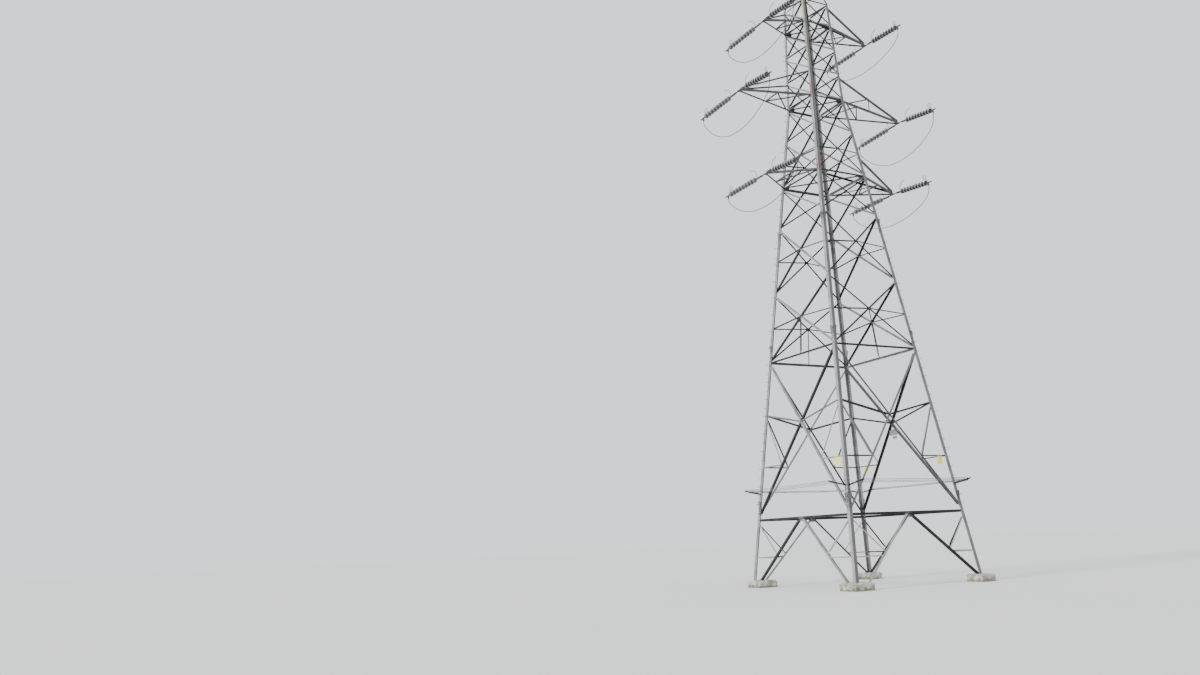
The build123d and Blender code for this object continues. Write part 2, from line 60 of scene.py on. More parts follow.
Data = bpy.types.Mesh | bpy.types.Curve | bpy.types.Camera | bpy.types.Light
SENSOR = 36.0
PHOTO_WIDTH = 1200.0
HEXAGON = 6


class Side(Enum):
    """A face of the tower's body, with the turn that brings the front face there."""

    FRONT = 0
    RIGHT = 90
    BACK = 180
    LEFT = 270

    def turn(self) -> Matrix:
        """The turn about the tower's axis."""
        return Matrix.Rotation(math.radians(self.value), 4, "Z")


class Value:
    """A number that changes over a surface: arithmetic on it adds Math nodes."""

    def __init__(self, tree: bpy.types.NodeTree, socket: bpy.types.NodeSocket) -> None:
        """Keeps the socket and the tree that it is in."""
        self.tree = tree
        self.socket = socket

    def _math(self, operation: str, first: Value | float, second: Value | float) -> Value:
        """One Math node.

        Args:
            operation: the node's operation.
            first: its first value.
            second: its second value.

        Returns:
            The node's result.
        """
        node = self.tree.nodes.new("ShaderNodeMath")
        node.operation = operation
        for slot, value in zip(node.inputs, (first, second)):
            if isinstance(value, Value):
                self.tree.links.new(value.socket, slot)
            else:
                slot.default_value = value
        return Value(self.tree, node.outputs[0])

    def __add__(self, other: Value | float) -> Value:
        """Sum."""
        return self._math("ADD", self, other)

    __radd__ = __add__

    def __mul__(self, other: Value | float) -> Value:
        """Product."""
        return self._math("MULTIPLY", self, other)

    __rmul__ = __mul__

    def __sub__(self, other: Value | float) -> Value:
        """Difference."""
        return self._math("SUBTRACT", self, other)

    def __rsub__(self, other: float) -> Value:
        """Difference, the other way round."""
        return self._math("SUBTRACT", other, self)


class Finish:
    """One material, put together node by node."""

    def __init__(self, name: str) -> None:
        """Starts a material with nothing but its surface shader.

        Args:
            name: the name.
        """
        self.material = bpy.data.materials.new(name)
        self.material.use_nodes = True
        self.tree = self.material.node_tree
        self.surface = self.tree.nodes["Principled BSDF"]
        self.place = self.node("TexCoord", {}, {}, "Object")

    def node(self, kind: str, settings: dict[str, object], sockets: dict[str | int, object],
             output: str | int = 0) -> Value:
        """Adds one node.

        Args:
            kind: the node's type, without the word ShaderNode in front.
            settings: the node's own settings, set first.
            sockets: values or links of its sockets.
            output: the output that is wanted.

        Returns:
            That output.
        """
        node = self.tree.nodes.new("ShaderNode" + kind)
        for key, value in settings.items():
            setattr(node, key, value)
        for key, value in sockets.items():
            if isinstance(value, Value):
                self.tree.links.new(value.socket, node.inputs[key])
            else:
                node.inputs[key].default_value = value
        return Value(self.tree, node.outputs[output])

    def mapped(self, **sockets: Point) -> Value:
        """Object coordinates, with a Scale along the three axes or a Rotation about them."""
        return self.node("Mapping", {}, {"Vector": self.place, **sockets})

    def noise(self, scale: float, detail: float = 4.0, vector: Value | None = None) -> Value:
        """Noise between 0 and 1.

        Args:
            scale: waves per metre.
            detail: octaves.
            vector: coordinates, or the object's own.

        Returns:
            The noise.
        """
        sockets = {"Vector": vector or self.place, "Scale": scale, "Detail": detail}
        return self.node("TexNoise", {}, sockets)

    def mask(self, value: Value, low: float, high: float) -> Value:
        """A smooth step from 0 at low to 1 at high."""
        settings = {"interpolation_type": "SMOOTHSTEP"}
        return self.node("MapRange", settings, {"Value": value, 1: low, 2: high})

    def blend(self, mask: Value, first: Value | Colour, second: Value | Colour) -> Value:
        """A colour between two, by a mask.

        Args:
            mask: 0 for the first colour, 1 for the second.
            first: a colour.
            second: a colour.

        Returns:
            The mixed colour.
        """
        pair = [(*c, 1.0) if isinstance(c, tuple) else c for c in (first, second)]
        return self.node("Mix", {"data_type": "RGBA"}, {0: mask, 6: pair[0], 7: pair[1]}, 2)

    def height(self) -> Value:
        """Height over the ground, in metres."""
        return self.node("SeparateXYZ", {}, {0: self.place}, 2)

    def facing(self, axis: int) -> Value:
        """How far the surface faces along one axis, from -1 to 1."""
        normal = self.node("NewGeometry", {}, {}, "Normal")
        return self.node("SeparateXYZ", {}, {0: normal}, axis)

    def paint(self, colour: Value | Colour, roughness: Value | float, metallic: float = 0.0) -> None:
        """Sets the shader's colour, roughness and metal.

        Args:
            colour: the base colour.
            roughness: the roughness.
            metallic: how far it is metal.
        """
        looks = {"Base Color": colour, "Roughness": roughness, "Metallic": metallic}
        for name, value in looks.items():
            slot = self.surface.inputs[name]
            if isinstance(value, Value):
                self.tree.links.new(value.socket, slot)
            elif isinstance(value, tuple):
                slot.default_value = (*value, 1.0)
            else:
                slot.default_value = value

    def bump(self, height: Value, strength: float, distance: float) -> None:
        """Roughens the surface.

        Args:
            height: the height map.
            strength: its strength.
            distance: its depth in metres.
        """
        sockets = {"Height": height, "Strength": strength, "Distance": distance}
        bumped = self.node("Bump", {}, sockets)
        self.tree.links.new(bumped.socket, self.surface.inputs["Normal"])


@dataclass(frozen=True)
class WeatheredSteel:
    """Galvanised angle steel after decades outdoors: mottled zinc, streaks and a little rust, and painted
    shade on the surfaces that face away from the key light.
    """

    name: str
    zinc: Colour = (0.155, 0.16, 0.168)
    dull: Colour = (0.062, 0.064, 0.07)
    rust: Colour = (0.17, 0.075, 0.045)
    rust_from: float = 0.63
    rust_edge: float = 0.09
    metallic: float = 0.35
    # The next two values set the painted shade: how strongly it darkens the surfaces facing +X and downwards,
    # away from the key light, and its colour as a share of the zinc.
    darkening: float = 0.5
    shade_factor: float = 0.22
    gloss: float = 0.5

    def material(self) -> bpy.types.Material:
        """Makes the material.

        Returns:
            The material.
        """
        made = Finish(self.name)
        patches = made.noise(2.6, 5.0)
        spangle = made.noise(38.0, 3.0)
        runs = made.noise(5.0, 4.0, made.mapped(Scale=(3.0, 3.0, 0.22)))
        dullness = made.mask(patches * 0.55 + runs * 0.45, 0.36, 0.62)
        colour = made.blend(dullness, self.zinc, self.dull)
        lighter = tuple(min(1.0, 1.35 * part) for part in self.zinc)
        colour = made.blend(made.mask(spangle, 0.35, 0.7) * 0.3, colour, lighter)
        rusty = made.mask(made.noise(1.1, 6.0) * 0.6 + made.noise(9.0, 4.0) * 0.4,
                          self.rust_from, self.rust_from + self.rust_edge)
        colour = self.grown(made, made.blend(rusty * 0.75, colour, self.rust))
        # Painted shade: surfaces that face +X or downwards, away from the key light, are blended towards a
        # darker copy of the zinc.
        painted_shade = made.mask(made.facing(0) - made.facing(2) * 0.6, -0.75, -0.15)
        colour = made.blend(painted_shade * self.darkening, colour, tuple(self.shade_factor * part for part in self.zinc))
        made.paint(colour, 0.5 + dullness * 0.22 + rusty * 0.18, self.metallic)
        made.surface.inputs["Specular IOR Level"].default_value = self.gloss
        made.bump(spangle * 0.5 + made.noise(140.0, 2.0) * 0.5, 0.25, 0.002)
        return made.material

    def grown(self, made: Finish, colour: Value) -> Value:
        """Nothing grows on plain steel, so its colour stays."""
        return colour


@dataclass(frozen=True)
class WashedLegSteel(WeatheredSteel):
    """The steel of the leg that stands in the weather: lichen near its top, red over the arms' joints."""

    strength: float = 0.85
    lichen: Colour = (0.33, 0.36, 0.13)
    lichen_levels: Flat = (22.5, 25.0)
    red: Colour = (0.25, 0.08, 0.075)
    red_levels: Flat = (17.75, 21.6)
    red_below: float = 0.12
    red_above: Flat = (0.35, 0.8)

    def grown(self, made: Finish, colour: Value) -> Value:
        """Adds the lichen and the two red bands.

        Args:
            made: the material in the making.
            colour: the steel's colour without them.

        Returns:
            The colour with them.
        """
        green = made.mask(made.noise(3.3, 5.0), 0.42, 0.6) * made.mask(made.height(), *self.lichen_levels)
        colour = made.blend(green * self.strength, colour, self.lichen)
        for level in self.red_levels:
            fading = made.mask(made.height(), level + self.red_above[0], level + self.red_above[1])
            band = made.mask(made.height(), level - self.red_below, level) * (1.0 - fading)
            red = band * (0.35 + made.mask(made.noise(6.0, 4.0), 0.35, 0.6) * 0.65)
            colour = made.blend(red * self.strength, colour, self.red)
        return colour


@dataclass(frozen=True)
class CastConcrete:
    """Weathered concrete with moss near the ground."""

    name: str = "weathered_concrete"
    pale: Colour = (0.47, 0.45, 0.4)
    stained: Colour = (0.22, 0.21, 0.17)
    grit: Colour = (0.6, 0.58, 0.53)
    moss: Colour = (0.1, 0.12, 0.045)
    moss_levels: Flat = (0.02, 0.2)

    def material(self) -> bpy.types.Material:
        """Makes the material.

        Returns:
            The material.
        """
        made = Finish(self.name)
        stain = made.mask(made.noise(4.0, 6.0), 0.38, 0.66)
        colour = made.blend(stain, self.pale, self.stained)
        grit = made.noise(90.0, 3.0)
        colour = made.blend(made.mask(grit, 0.6, 0.72) * 0.5, colour, self.grit)
        foot = 1.0 - made.mask(made.height(), *self.moss_levels)
        green = made.mask(made.noise(7.0, 5.0) + foot * 0.25, 0.58, 0.7)
        colour = made.blend(green * 0.8, colour, self.moss)
        made.paint(colour, 0.9)
        made.bump(grit * 0.6 + made.noise(22.0, 5.0) * 0.4, 0.5, 0.006)
        return made.material


@dataclass(frozen=True)
class GlazedDisc:
    """Blue-grey glazed ceramic, with a painted highlight on the side of each shed that faces up and towards
    -X, where the key light falls.
    """

    name: str
    glaze: Colour = (0.1, 0.112, 0.112)
    # The second colour below is the painted highlight, and the value after the dark colour sets how far a
    # surface must face the key light before the highlight starts.
    dust: Colour = (0.3, 0.32, 0.3)
    dark: Colour = (0.06, 0.068, 0.07)
    highlight_from: float = 0.2
    coat: float = 0.7
    coat_roughness: float = 0.06

    def material(self) -> bpy.types.Material:
        """Makes the material.

        Returns:
            The material.
        """
        made = Finish(self.name)
        # Painted highlight: the sides of each shed that face up and towards -X, where the key light falls,
        # are blended towards a paler colour, mottled by noise, and made rougher there.
        facing_light = made.facing(2) - made.facing(0) * 0.35
        upward = made.mask(facing_light, self.highlight_from, self.highlight_from + 0.5)
        painted_highlight = (0.55 + made.mask(made.noise(14.0, 5.0), 0.35, 0.7) * 0.45) * upward
        colour = made.blend(painted_highlight * 0.8, self.glaze, self.dust)
        colour = made.blend(made.mask(made.noise(2.0, 3.0), 0.4, 0.7) * 0.35, colour, self.dark)
        made.paint(colour, 0.16 + painted_highlight * 0.35)
        made.surface.inputs["Coat Weight"].default_value = self.coat
        made.surface.inputs["Coat Roughness"].default_value = self.coat_roughness
        made.bump(made.noise(60.0, 3.0), 0.06, 0.001)
        return made.material


@dataclass(frozen=True)
class CastFitting:
    """Galvanised cast and forged fittings, darker than the tower's own steel."""

    name: str = "cast_fitting"
    bare: Colour = (0.1, 0.102, 0.106)
    worn: Colour = (0.035, 0.034, 0.036)
    rust: Colour = (0.14, 0.06, 0.03)

    def material(self) -> bpy.types.Material:
        """Makes the material.

        Returns:
            The material.
        """
        made = Finish(self.name)
        worn = made.mask(made.noise(16.0, 5.0), 0.4, 0.62)
        colour = made.blend(worn, self.bare, self.worn)
        rusty = made.mask(made.noise(7.0, 6.0), 0.6, 0.68)
        colour = made.blend(rusty * 0.6, colour, self.rust)
        made.paint(colour, 0.52 + worn * 0.2, 0.5)
        made.bump(made.noise(150.0, 3.0), 0.3, 0.001)
        return made.material


@dataclass(frozen=True)
class StrandedWire:
    """Weathered aluminium strand, dull with the lay of its wires as fine ridges."""

    name: str = "line_strand"
    bright: Colour = (0.034, 0.035, 0.04)
    darkest: Colour = (0.012, 0.012, 0.014)
    slant: Point = (0.5, 0.45, 0.3)
    waves: float = 210.0 / 6.3

    def material(self) -> bpy.types.Material:
        """Makes the material.

        Returns:
            The material.
        """
        made = Finish(self.name)
        worn = made.mask(made.noise(9.0, 4.0), 0.38, 0.65)
        colour = made.blend(worn, self.bright, self.darkest)
        sockets = {"Vector": made.mapped(Rotation=self.slant), "Scale": self.waves}
        lay = made.node("TexWave", {"wave_type": "BANDS"}, sockets, 1)
        made.paint(colour, 0.5 + worn * 0.2, 0.6)
        made.bump(lay, 0.5, 0.002)
        return made.material


@dataclass(frozen=True)
class EnamelPlate:
    """A bare enamelled sheet plate, faded and dirty in patches."""

    name: str
    face: Colour
    dirt: Colour = (0.2, 0.18, 0.13)

    def material(self) -> bpy.types.Material:
        """Makes the material.

        Returns:
            The material.
        """
        made = Finish(self.name)
        faded = made.mask(made.noise(11.0, 4.0), 0.35, 0.7)
        pale = tuple(min(1.0, part * 1.12 + 0.03) for part in self.face)
        colour = made.blend(faded, self.face, pale)
        darkening = made.mask(made.noise(24.0, 6.0), 0.55, 0.72)
        colour = made.blend(darkening * 0.45, colour, self.dirt)
        made.paint(colour, 0.38 + faded * 0.2)
        made.bump(made.noise(45.0, 3.0), 0.08, 0.001)
        return made.material


def deselect() -> None:
    """Leaves edit mode and clears the selection."""
    if bpy.context.object and bpy.context.object.mode != "OBJECT":
        bpy.ops.object.mode_set(mode="OBJECT")
    bpy.ops.object.select_all(action="DESELECT")


def select_only(piece: bpy.types.Object) -> None:
    """Selects one piece and makes it the active one.

    Args:
        piece: the piece.
    """
    deselect()
    piece.select_set(True)
    bpy.context.view_layer.objects.active = piece


def linked(name: str, data: Data) -> bpy.types.Object:
    """Puts a new object with its data into the scene.

    Args:
        name: the object's name.
        data: its mesh, curve, camera or light.

    Returns:
        The object.
    """
    piece = bpy.data.objects.new(name, data)
    bpy.context.scene.collection.objects.link(piece)
    return piece


def lathed(name: str, outline: list[Flat], sides: int) -> bpy.types.Object:
    """Turns an outline round +Z: a ring is extruded and resized from one point to the next.

    Args:
        name: the piece's name.
        outline: radius and height of each point, from the bottom.
        sides: how many sides the ring has.

    Returns:
        The piece, closed at both ends.
    """
    deselect()
    radius, height = outline[0]
    bpy.ops.mesh.primitive_circle_add(vertices=sides, radius=radius, fill_type="NGON",
                                      location=(0, 0, height))
    piece = bpy.context.object
    piece.name = name
    bpy.ops.object.mode_set(mode="EDIT")
    bpy.ops.mesh.select_all(action="SELECT")
    for next_radius, next_height in outline[1:]:
        bpy.ops.mesh.extrude_region_move(
            TRANSFORM_OT_translate={"value": (0, 0, next_height - height)})
        scale = next_radius / radius
        bpy.ops.transform.resize(value=(scale, scale, 1), center_override=(0, 0, next_height))
        radius, height = next_radius, next_height
    bpy.ops.mesh.select_all(action="SELECT")
    bpy.ops.mesh.normals_make_consistent(inside=False)
    bpy.ops.object.mode_set(mode="OBJECT")
    bake_place(piece)
    return piece


def block(name: str, size: Point, bevel: float = 0.0) -> bpy.types.Object:
    """A plate or block centred on the origin, its edges bevelled.

    Args:
        name: the piece's name.
        size: its three sides.
        bevel: width of the bevel.

    Returns:
        The piece.
    """
    deselect()
    bpy.ops.mesh.primitive_cube_add(size=1)
    piece = bpy.context.object
    piece.name = name
    bpy.ops.object.mode_set(mode="EDIT")
    bpy.ops.mesh.select_all(action="SELECT")
    bpy.ops.transform.resize(value=size, center_override=(0, 0, 0))
    if bevel:
        bpy.ops.mesh.bevel(offset=bevel, segments=1)
    bpy.ops.object.mode_set(mode="OBJECT")
    return piece


def bake_place(piece: bpy.types.Object) -> None:
    """Moves a piece's place into its mesh, so that its object sits at the origin."""
    piece.data.transform(piece.matrix_basis)
    piece.matrix_basis = Matrix.Identity(4)


def smooth_line(name: str, points: list[Point] | list[Vector], steps: int,
                kind: str = "NURBS") -> bpy.types.Curve:
    """An open curve with points as its control points.

    Args:
        name: the curve's name.
        points: the control points.
        steps: how many steps the curve has for each point.
        kind: NURBS for a smooth curve, POLY for straight runs.

    Returns:
        The curve, with no thickness yet.
    """
    curve = bpy.data.curves.new(name, "CURVE")
    curve.dimensions = "3D"
    spline = curve.splines.new(kind)
    spline.points.add(len(points) - 1)
    for knot, point in zip(spline.points, points):
        knot.co = (*point, 1.0)
    if kind == "NURBS":
        spline.order_u = 3
        spline.use_endpoint_u = True
        spline.resolution_u = steps
    return curve


def rod(name: str, points: list[Point] | list[Vector], radius: float, sides: int,
        kind: str = "NURBS") -> bpy.types.Object:
    """A bent round bar or wire through points.

    Args:
        name: the piece's name.
        points: the bar's control points.
        radius: its radius.
        sides: the curve's bevel resolution.
        kind: NURBS for a smooth bar, POLY for one with straight runs.

    Returns:
        The bar, as a mesh.
    """
    curve = smooth_line(name, points, 4, kind)
    curve.bevel_depth = radius
    curve.bevel_resolution = sides
    curve.use_fill_caps = True
    select_only(linked(name, curve))
    bpy.ops.object.convert(target="MESH")
    return bpy.context.object


def joined(name: str, pieces: list[bpy.types.Object]) -> bpy.types.Object:
    """Joins pieces into one object.

    Args:
        name: the new name.
        pieces: what is joined.

    Returns:
        The joined object.
    """
    deselect()
    for piece in pieces:
        piece.select_set(True)
    bpy.context.view_layer.objects.active = pieces[0]
    if len(pieces) > 1:
        bpy.ops.object.join()
    result = bpy.context.object
    result.name = name
    result.data.name = name
    return result


def stamped(name: str, pattern: bpy.types.Object, places: list[Matrix]) -> bpy.types.Object:
    """Copies a modelled pattern to many places, each copy with its own mesh, as one piece.

    Args:
        name: the new piece's name.
        pattern: the modelled shape; it goes away.
        places: where each copy stands.

    Returns:
        The piece.
    """
    copies = []
    for place in places:
        mesh = pattern.data.copy()
        mesh.transform(place)
        copies.append(linked(name, mesh))
    bpy.data.objects.remove(pattern)
    return joined(name, copies)


def aimed(origin: Vector, axis: Vector, across: Vector | None = None) -> Matrix:
    """A place whose +Z runs along an axis.

    Args:
        origin: the place.
        axis: where +Z points.
        across: roughly where +X points.

    Returns:
        The matrix.
    """
    up = axis.normalized()
    if across is None:
        across = Vector((1, 0, 0)) if abs(up.x) < 0.9 else Vector((0, 1, 0))
    side = (across - up * across.dot(up)).normalized()
    other = up.cross(side)
    turn = Matrix((side, other, up)).transposed().to_4x4()
    return Matrix.Translation(origin) @ turn


def dress(piece: bpy.types.Object, material: bpy.types.Material) -> bpy.types.Object:
    """Gives a new piece its finish and lets it ride with the tower.

    Args:
        piece: the piece.
        material: its material.

    Returns:
        The piece.
    """
    piece.data.materials.clear()
    piece.data.materials.append(material)
    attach(piece, "root")
    LOG.info("%s is dressed in %s", piece.name, material.name)
    return piece


def smooth(piece: bpy.types.Object, angle: float) -> None:
    """Shades a piece smooth, except over edges sharper than an angle in degrees."""
    select_only(piece)
    bpy.ops.object.shade_smooth_by_angle(angle=math.radians(angle))


@dataclass
class TowerBody:
    """The body's sizes, repeated from the CAD source, and its bars as lines on the front face."""

    cap: float = 0.3
    beam: float = 2.8
    spread: float = 7.255
    waist: float = 9.64
    shin: float = 12.73
    knee: float = 15.77
    bottom_arm: float = 17.73
    bottom_tie: float = 18.82
    link: float = 19.88
    middle_arm: float = 21.53
    middle_tie: float = 22.83
    top_link: float = 24.08
    top_arm: float = 25.36
    body_top: float = 26.53
    half_ground: float = 3.273
    half_bend: float = 0.91
    half_top: float = 0.73
    gauge: float = 0.07
    step: float = 0.095
    leg_thickness: float = 0.014
    bar_thickness: float = 0.008
    arm_drop: float = 0.045
    strut_share: float = 0.55

    def half(self, z: float) -> float:
        """Half the body's width at height z.

        Args:
            z: the height.

        Returns:
            Half the width.
        """
        if z <= self.middle_arm:
            return self.half_ground + (self.half_bend - self.half_ground) * z / self.middle_arm
        rise = (z - self.middle_arm) / (self.body_top - self.middle_arm)
        return self.half_bend + (self.half_top - self.half_bend) * rise

    def slope(self, z: float) -> float:
        """How far a face leans in for each metre up.

        Args:
            z: the height.

        Returns:
            The lean.
        """
        if z < self.middle_arm:
            return (self.half_ground - self.half_bend) / self.middle_arm
        return (self.half_bend - self.half_top) / (self.body_top - self.middle_arm)

    def tilt(self) -> Matrix:
        """The turn that lays an upright sheet on the front face's lower part."""
        return Matrix.Rotation(math.atan(self.slope(0.0)), 4, "X")

    def on_front(self, s: float, z: float, out: float) -> Vector:
        """A point near the front face, s from its middle and out from the legs' outer side."""
        return Vector((s, -self.half(z) - out, z))

    def at_leg(self, side: int, z: float) -> Flat:
        """The joint on a leg, across and up the face."""
        return side * (self.half(z) - self.gauge), z

    def crossed(self, low: float, high: float) -> list[tuple[Flat, Flat]]:
        """The two diagonals of a panel."""
        return [(self.at_leg(side, low + self.step), self.at_leg(-side, high - self.step))
                for side in (-1, 1)]

    def crossing(self, low: float, high: float) -> Flat:
        """Where a panel's diagonals meet."""
        (x0, z0), (x1, z1) = self.crossed(low, high)[0]
        return 0.0, z0 + (z1 - z0) * x0 / (x0 - x1)

    def tall_panel(self) -> Flat:
        """The foot and the head of the tall panel, which is the lowest of the crossed ones."""
        return self.beam + self.step, self.waist

    def strut_joint(self) -> Flat:
        """Where the tall panel's left short strut meets the rising diagonal.

        Returns:
            The spot, across and up the face.
        """
        low, high = self.tall_panel()
        foot = Vector(self.at_leg(-1, low + self.step))
        return tuple(foot.lerp(Vector(self.crossing(low, high)), self.strut_share))

    def panels(self) -> list[Flat]:
        """Every crossed panel.

        Returns:
            The foot and the head of each, from the bottom.
        """
        levels = [*self.tall_panel(), self.shin, self.knee, self.bottom_arm, self.link,
                  self.middle_arm, self.middle_tie, self.top_link, self.top_arm, self.body_top]
        return list(zip(levels, levels[1:]))

    def bars(self) -> list[tuple[Flat, Flat]]:
        """The lines of the bars that are bolted to the legs, on the front face.

        Returns:
            Both ends of each bar.
        """
        found = []
        for low, high in self.panels():
            found += self.crossed(low, high)
        for joint, (low, high) in (
            (self.spread, self.tall_panel()),
            ((self.waist + self.shin) / 2, (self.waist, self.shin)),
            ((self.shin + self.knee) / 2, (self.shin, self.knee)),
            (self.bottom_tie, (self.bottom_arm, self.link)),
        ):
            found += [(self.at_leg(side, joint), self.crossing(low, high)) for side in (-1, 1)]
        for level in (self.beam, self.waist, self.bottom_arm - self.arm_drop,
                      self.middle_arm - self.arm_drop, self.top_arm - self.arm_drop):
            found.append((self.at_leg(-1, level), self.at_leg(1, level)))
        return found


@dataclass
class Bolting:
    """Hexagon bolts where the bars meet the legs and each other."""

    body: TowerBody
    washer: float = 0.021
    washer_thickness: float = 0.003
    corner: float = 0.0165
    top: float = 0.0138
    chamfer: float = 0.002
    height: float = 0.016
    reaches: Flat = (-0.02, 0.05)
    middle_zone: float = 0.2

    def head_mesh(self) -> bpy.types.Object:
        """One bolt head with its washer, its foot on the origin.

        Returns:
            The bolt head.
        """
        outline = [(self.washer, 0.0), (self.washer, self.washer_thickness),
                   (self.corner, self.washer_thickness + 0.001), (self.corner, self.height - self.chamfer),
                   (self.top, self.height)]
        return lathed("bolt", outline, HEXAGON)

    def spots(self) -> list[tuple[float, float, bool]]:
        """Where bolts go on the front face: across, up, and whether the leg is behind.

        Returns:
            The bolts' spots.
        """
        found = []
        for start, end in self.body.bars():
            for near, far in ((start, end), (end, start)):
                if abs(near[0]) > self.middle_zone:
                    run = Vector((far[0] - near[0], far[1] - near[1])).normalized()
                    found += [(near[0] + run.x * reach, near[1] + run.y * reach, True)
                              for reach in self.reaches]
        return found + [(*self.body.crossing(low, high), False) for low, high in self.body.panels()]

    def places(self) -> list[Matrix]:
        """Where heads and nuts sit, on all four faces.

        Returns:
            The places.
        """
        places = []
        depth = self.body.leg_thickness
        for s, z, on_leg in self.spots():
            outward = Vector((0, -1, self.body.slope(z))).normalized()
            outer = self.body.on_front(s, z, 0.0 if on_leg else -depth)
            inner = self.body.on_front(s, z, -depth - self.body.bar_thickness)
            for side in Side:
                places.append(side.turn() @ aimed(outer, outward))
                places.append(side.turn() @ aimed(inner, -outward))
        return places

    def build(self, steel: bpy.types.Material) -> None:
        """Models one bolt, copies it to every joint and dresses the whole."""
        dress(stamped("joint_bolts", self.head_mesh(), self.places()), steel)


@dataclass
class StepBolts:
    """Round-headed step bolts up two legs, for climbing."""

    body: TowerBody
    pitch: float = 0.38
    lowest: float = 3.1
    below_top: float = 0.3
    length: float = 0.16
    radius: float = 0.009
    nut: Flat = (0.019, 0.012)
    knob: tuple[Flat, ...] = ((0.018, 0.001), (0.018, 0.008), (0.008, 0.013))
    inset: float = 0.045

    def peg(self) -> bpy.types.Object:
        """One step bolt, its foot on the origin.

        Returns:
            The step bolt.
        """
        outline = [(self.nut[0], 0.0), self.nut, (self.radius, self.nut[1] + 0.0005),
                   (self.radius, self.length)]
        outline += [(radius, self.length + past) for radius, past in self.knob]
        return lathed("peg", outline, 8)

    def build(self, steel: bpy.types.Material) -> None:
        """Copies the pegs up the back left and the front right leg.

        Args:
            steel: the finish of the steel.
        """
        places = []
        count = int((self.body.body_top - self.below_top - self.lowest) / self.pitch)
        for across, along in ((-1, 1), (1, -1)):
            for step in range(count):
                z = self.lowest + step * self.pitch
                half = self.body.half(z)
                near = half - self.inset
                if step % 2:
                    spot, axis = Vector((across * half, along * near, z)), Vector((across, 0, 0))
                else:
                    spot, axis = Vector((across * near, along * half, z)), Vector((0, along, 0))
                places.append(aimed(spot, axis))
        dress(stamped("step_bolts", self.peg(), places), steel)


@dataclass(frozen=True)
class Arm:
    """One crossarm: its level and reach, how steeply its two strings drop, and its jumper's name and sag."""

    jumper: str
    side: int
    low: float
    reach: float
    near_drop: float
    far_drop: float
    sag: float


@dataclass(frozen=True)
class Profiles:
    """The outlines of the turned fittings: radius and place along the string or the bolt."""

    shed: tuple[Flat, ...] = (
        (0.05, 0.046), (0.066, 0.048), (0.09, 0.054), (0.111, 0.064), (0.121, 0.076), (0.1254, 0.09),
        (0.1258, 0.116), (0.1222, 0.146), (0.119, 0.151), (0.113, 0.15), (0.108, 0.112), (0.101, 0.108),
        (0.097, 0.157), (0.089, 0.158), (0.083, 0.11), (0.074, 0.11), (0.07, 0.162), (0.062, 0.162),
        (0.055, 0.114), (0.03, 0.112))
    cap: tuple[Flat, ...] = (
        (0.02, 0.0), (0.034, 0.002), (0.039, 0.01), (0.041, 0.024), (0.049, 0.034), (0.053, 0.046),
        (0.054, 0.056), (0.05, 0.06))
    pin: tuple[Flat, ...] = (
        (0.022, 0.11), (0.02, 0.13), (0.0115, 0.136), (0.0115, 0.172), (0.019, 0.178), (0.019, 0.187))
    link_pin: tuple[Flat, ...] = (
        (0.02, -0.042), (0.02, -0.034), (0.012, -0.033), (0.012, 0.034), (0.018, 0.035), (0.018, 0.044),
        (0.012, 0.048))
    clamp_bolt: tuple[Flat, ...] = (
        (0.017, -0.04), (0.017, -0.032), (0.008, -0.031), (0.008, 0.036), (0.014, 0.037), (0.014, 0.046),
        (0.007, 0.052))
    collar: tuple[Flat, ...] = ((0.03, -0.045), (0.036, -0.04), (0.036, -0.02), (0.03, -0.015))
    grip: tuple[Flat, ...] = ((0.032, 0.03), (0.038, 0.035), (0.038, 0.06), (0.032, 0.065))
    horn: tuple[Flat, ...] = (
        (0.0, -0.03), (0.06, -0.05), (0.2, -0.045), (0.36, -0.03), (0.4, -0.01), (0.46, 0.13), (0.52, 0.27))
    stem: tuple[Flat, ...] = ((0.0, 0.05), (0.05, 0.06), (0.13, 0.0), (0.2, -0.09))


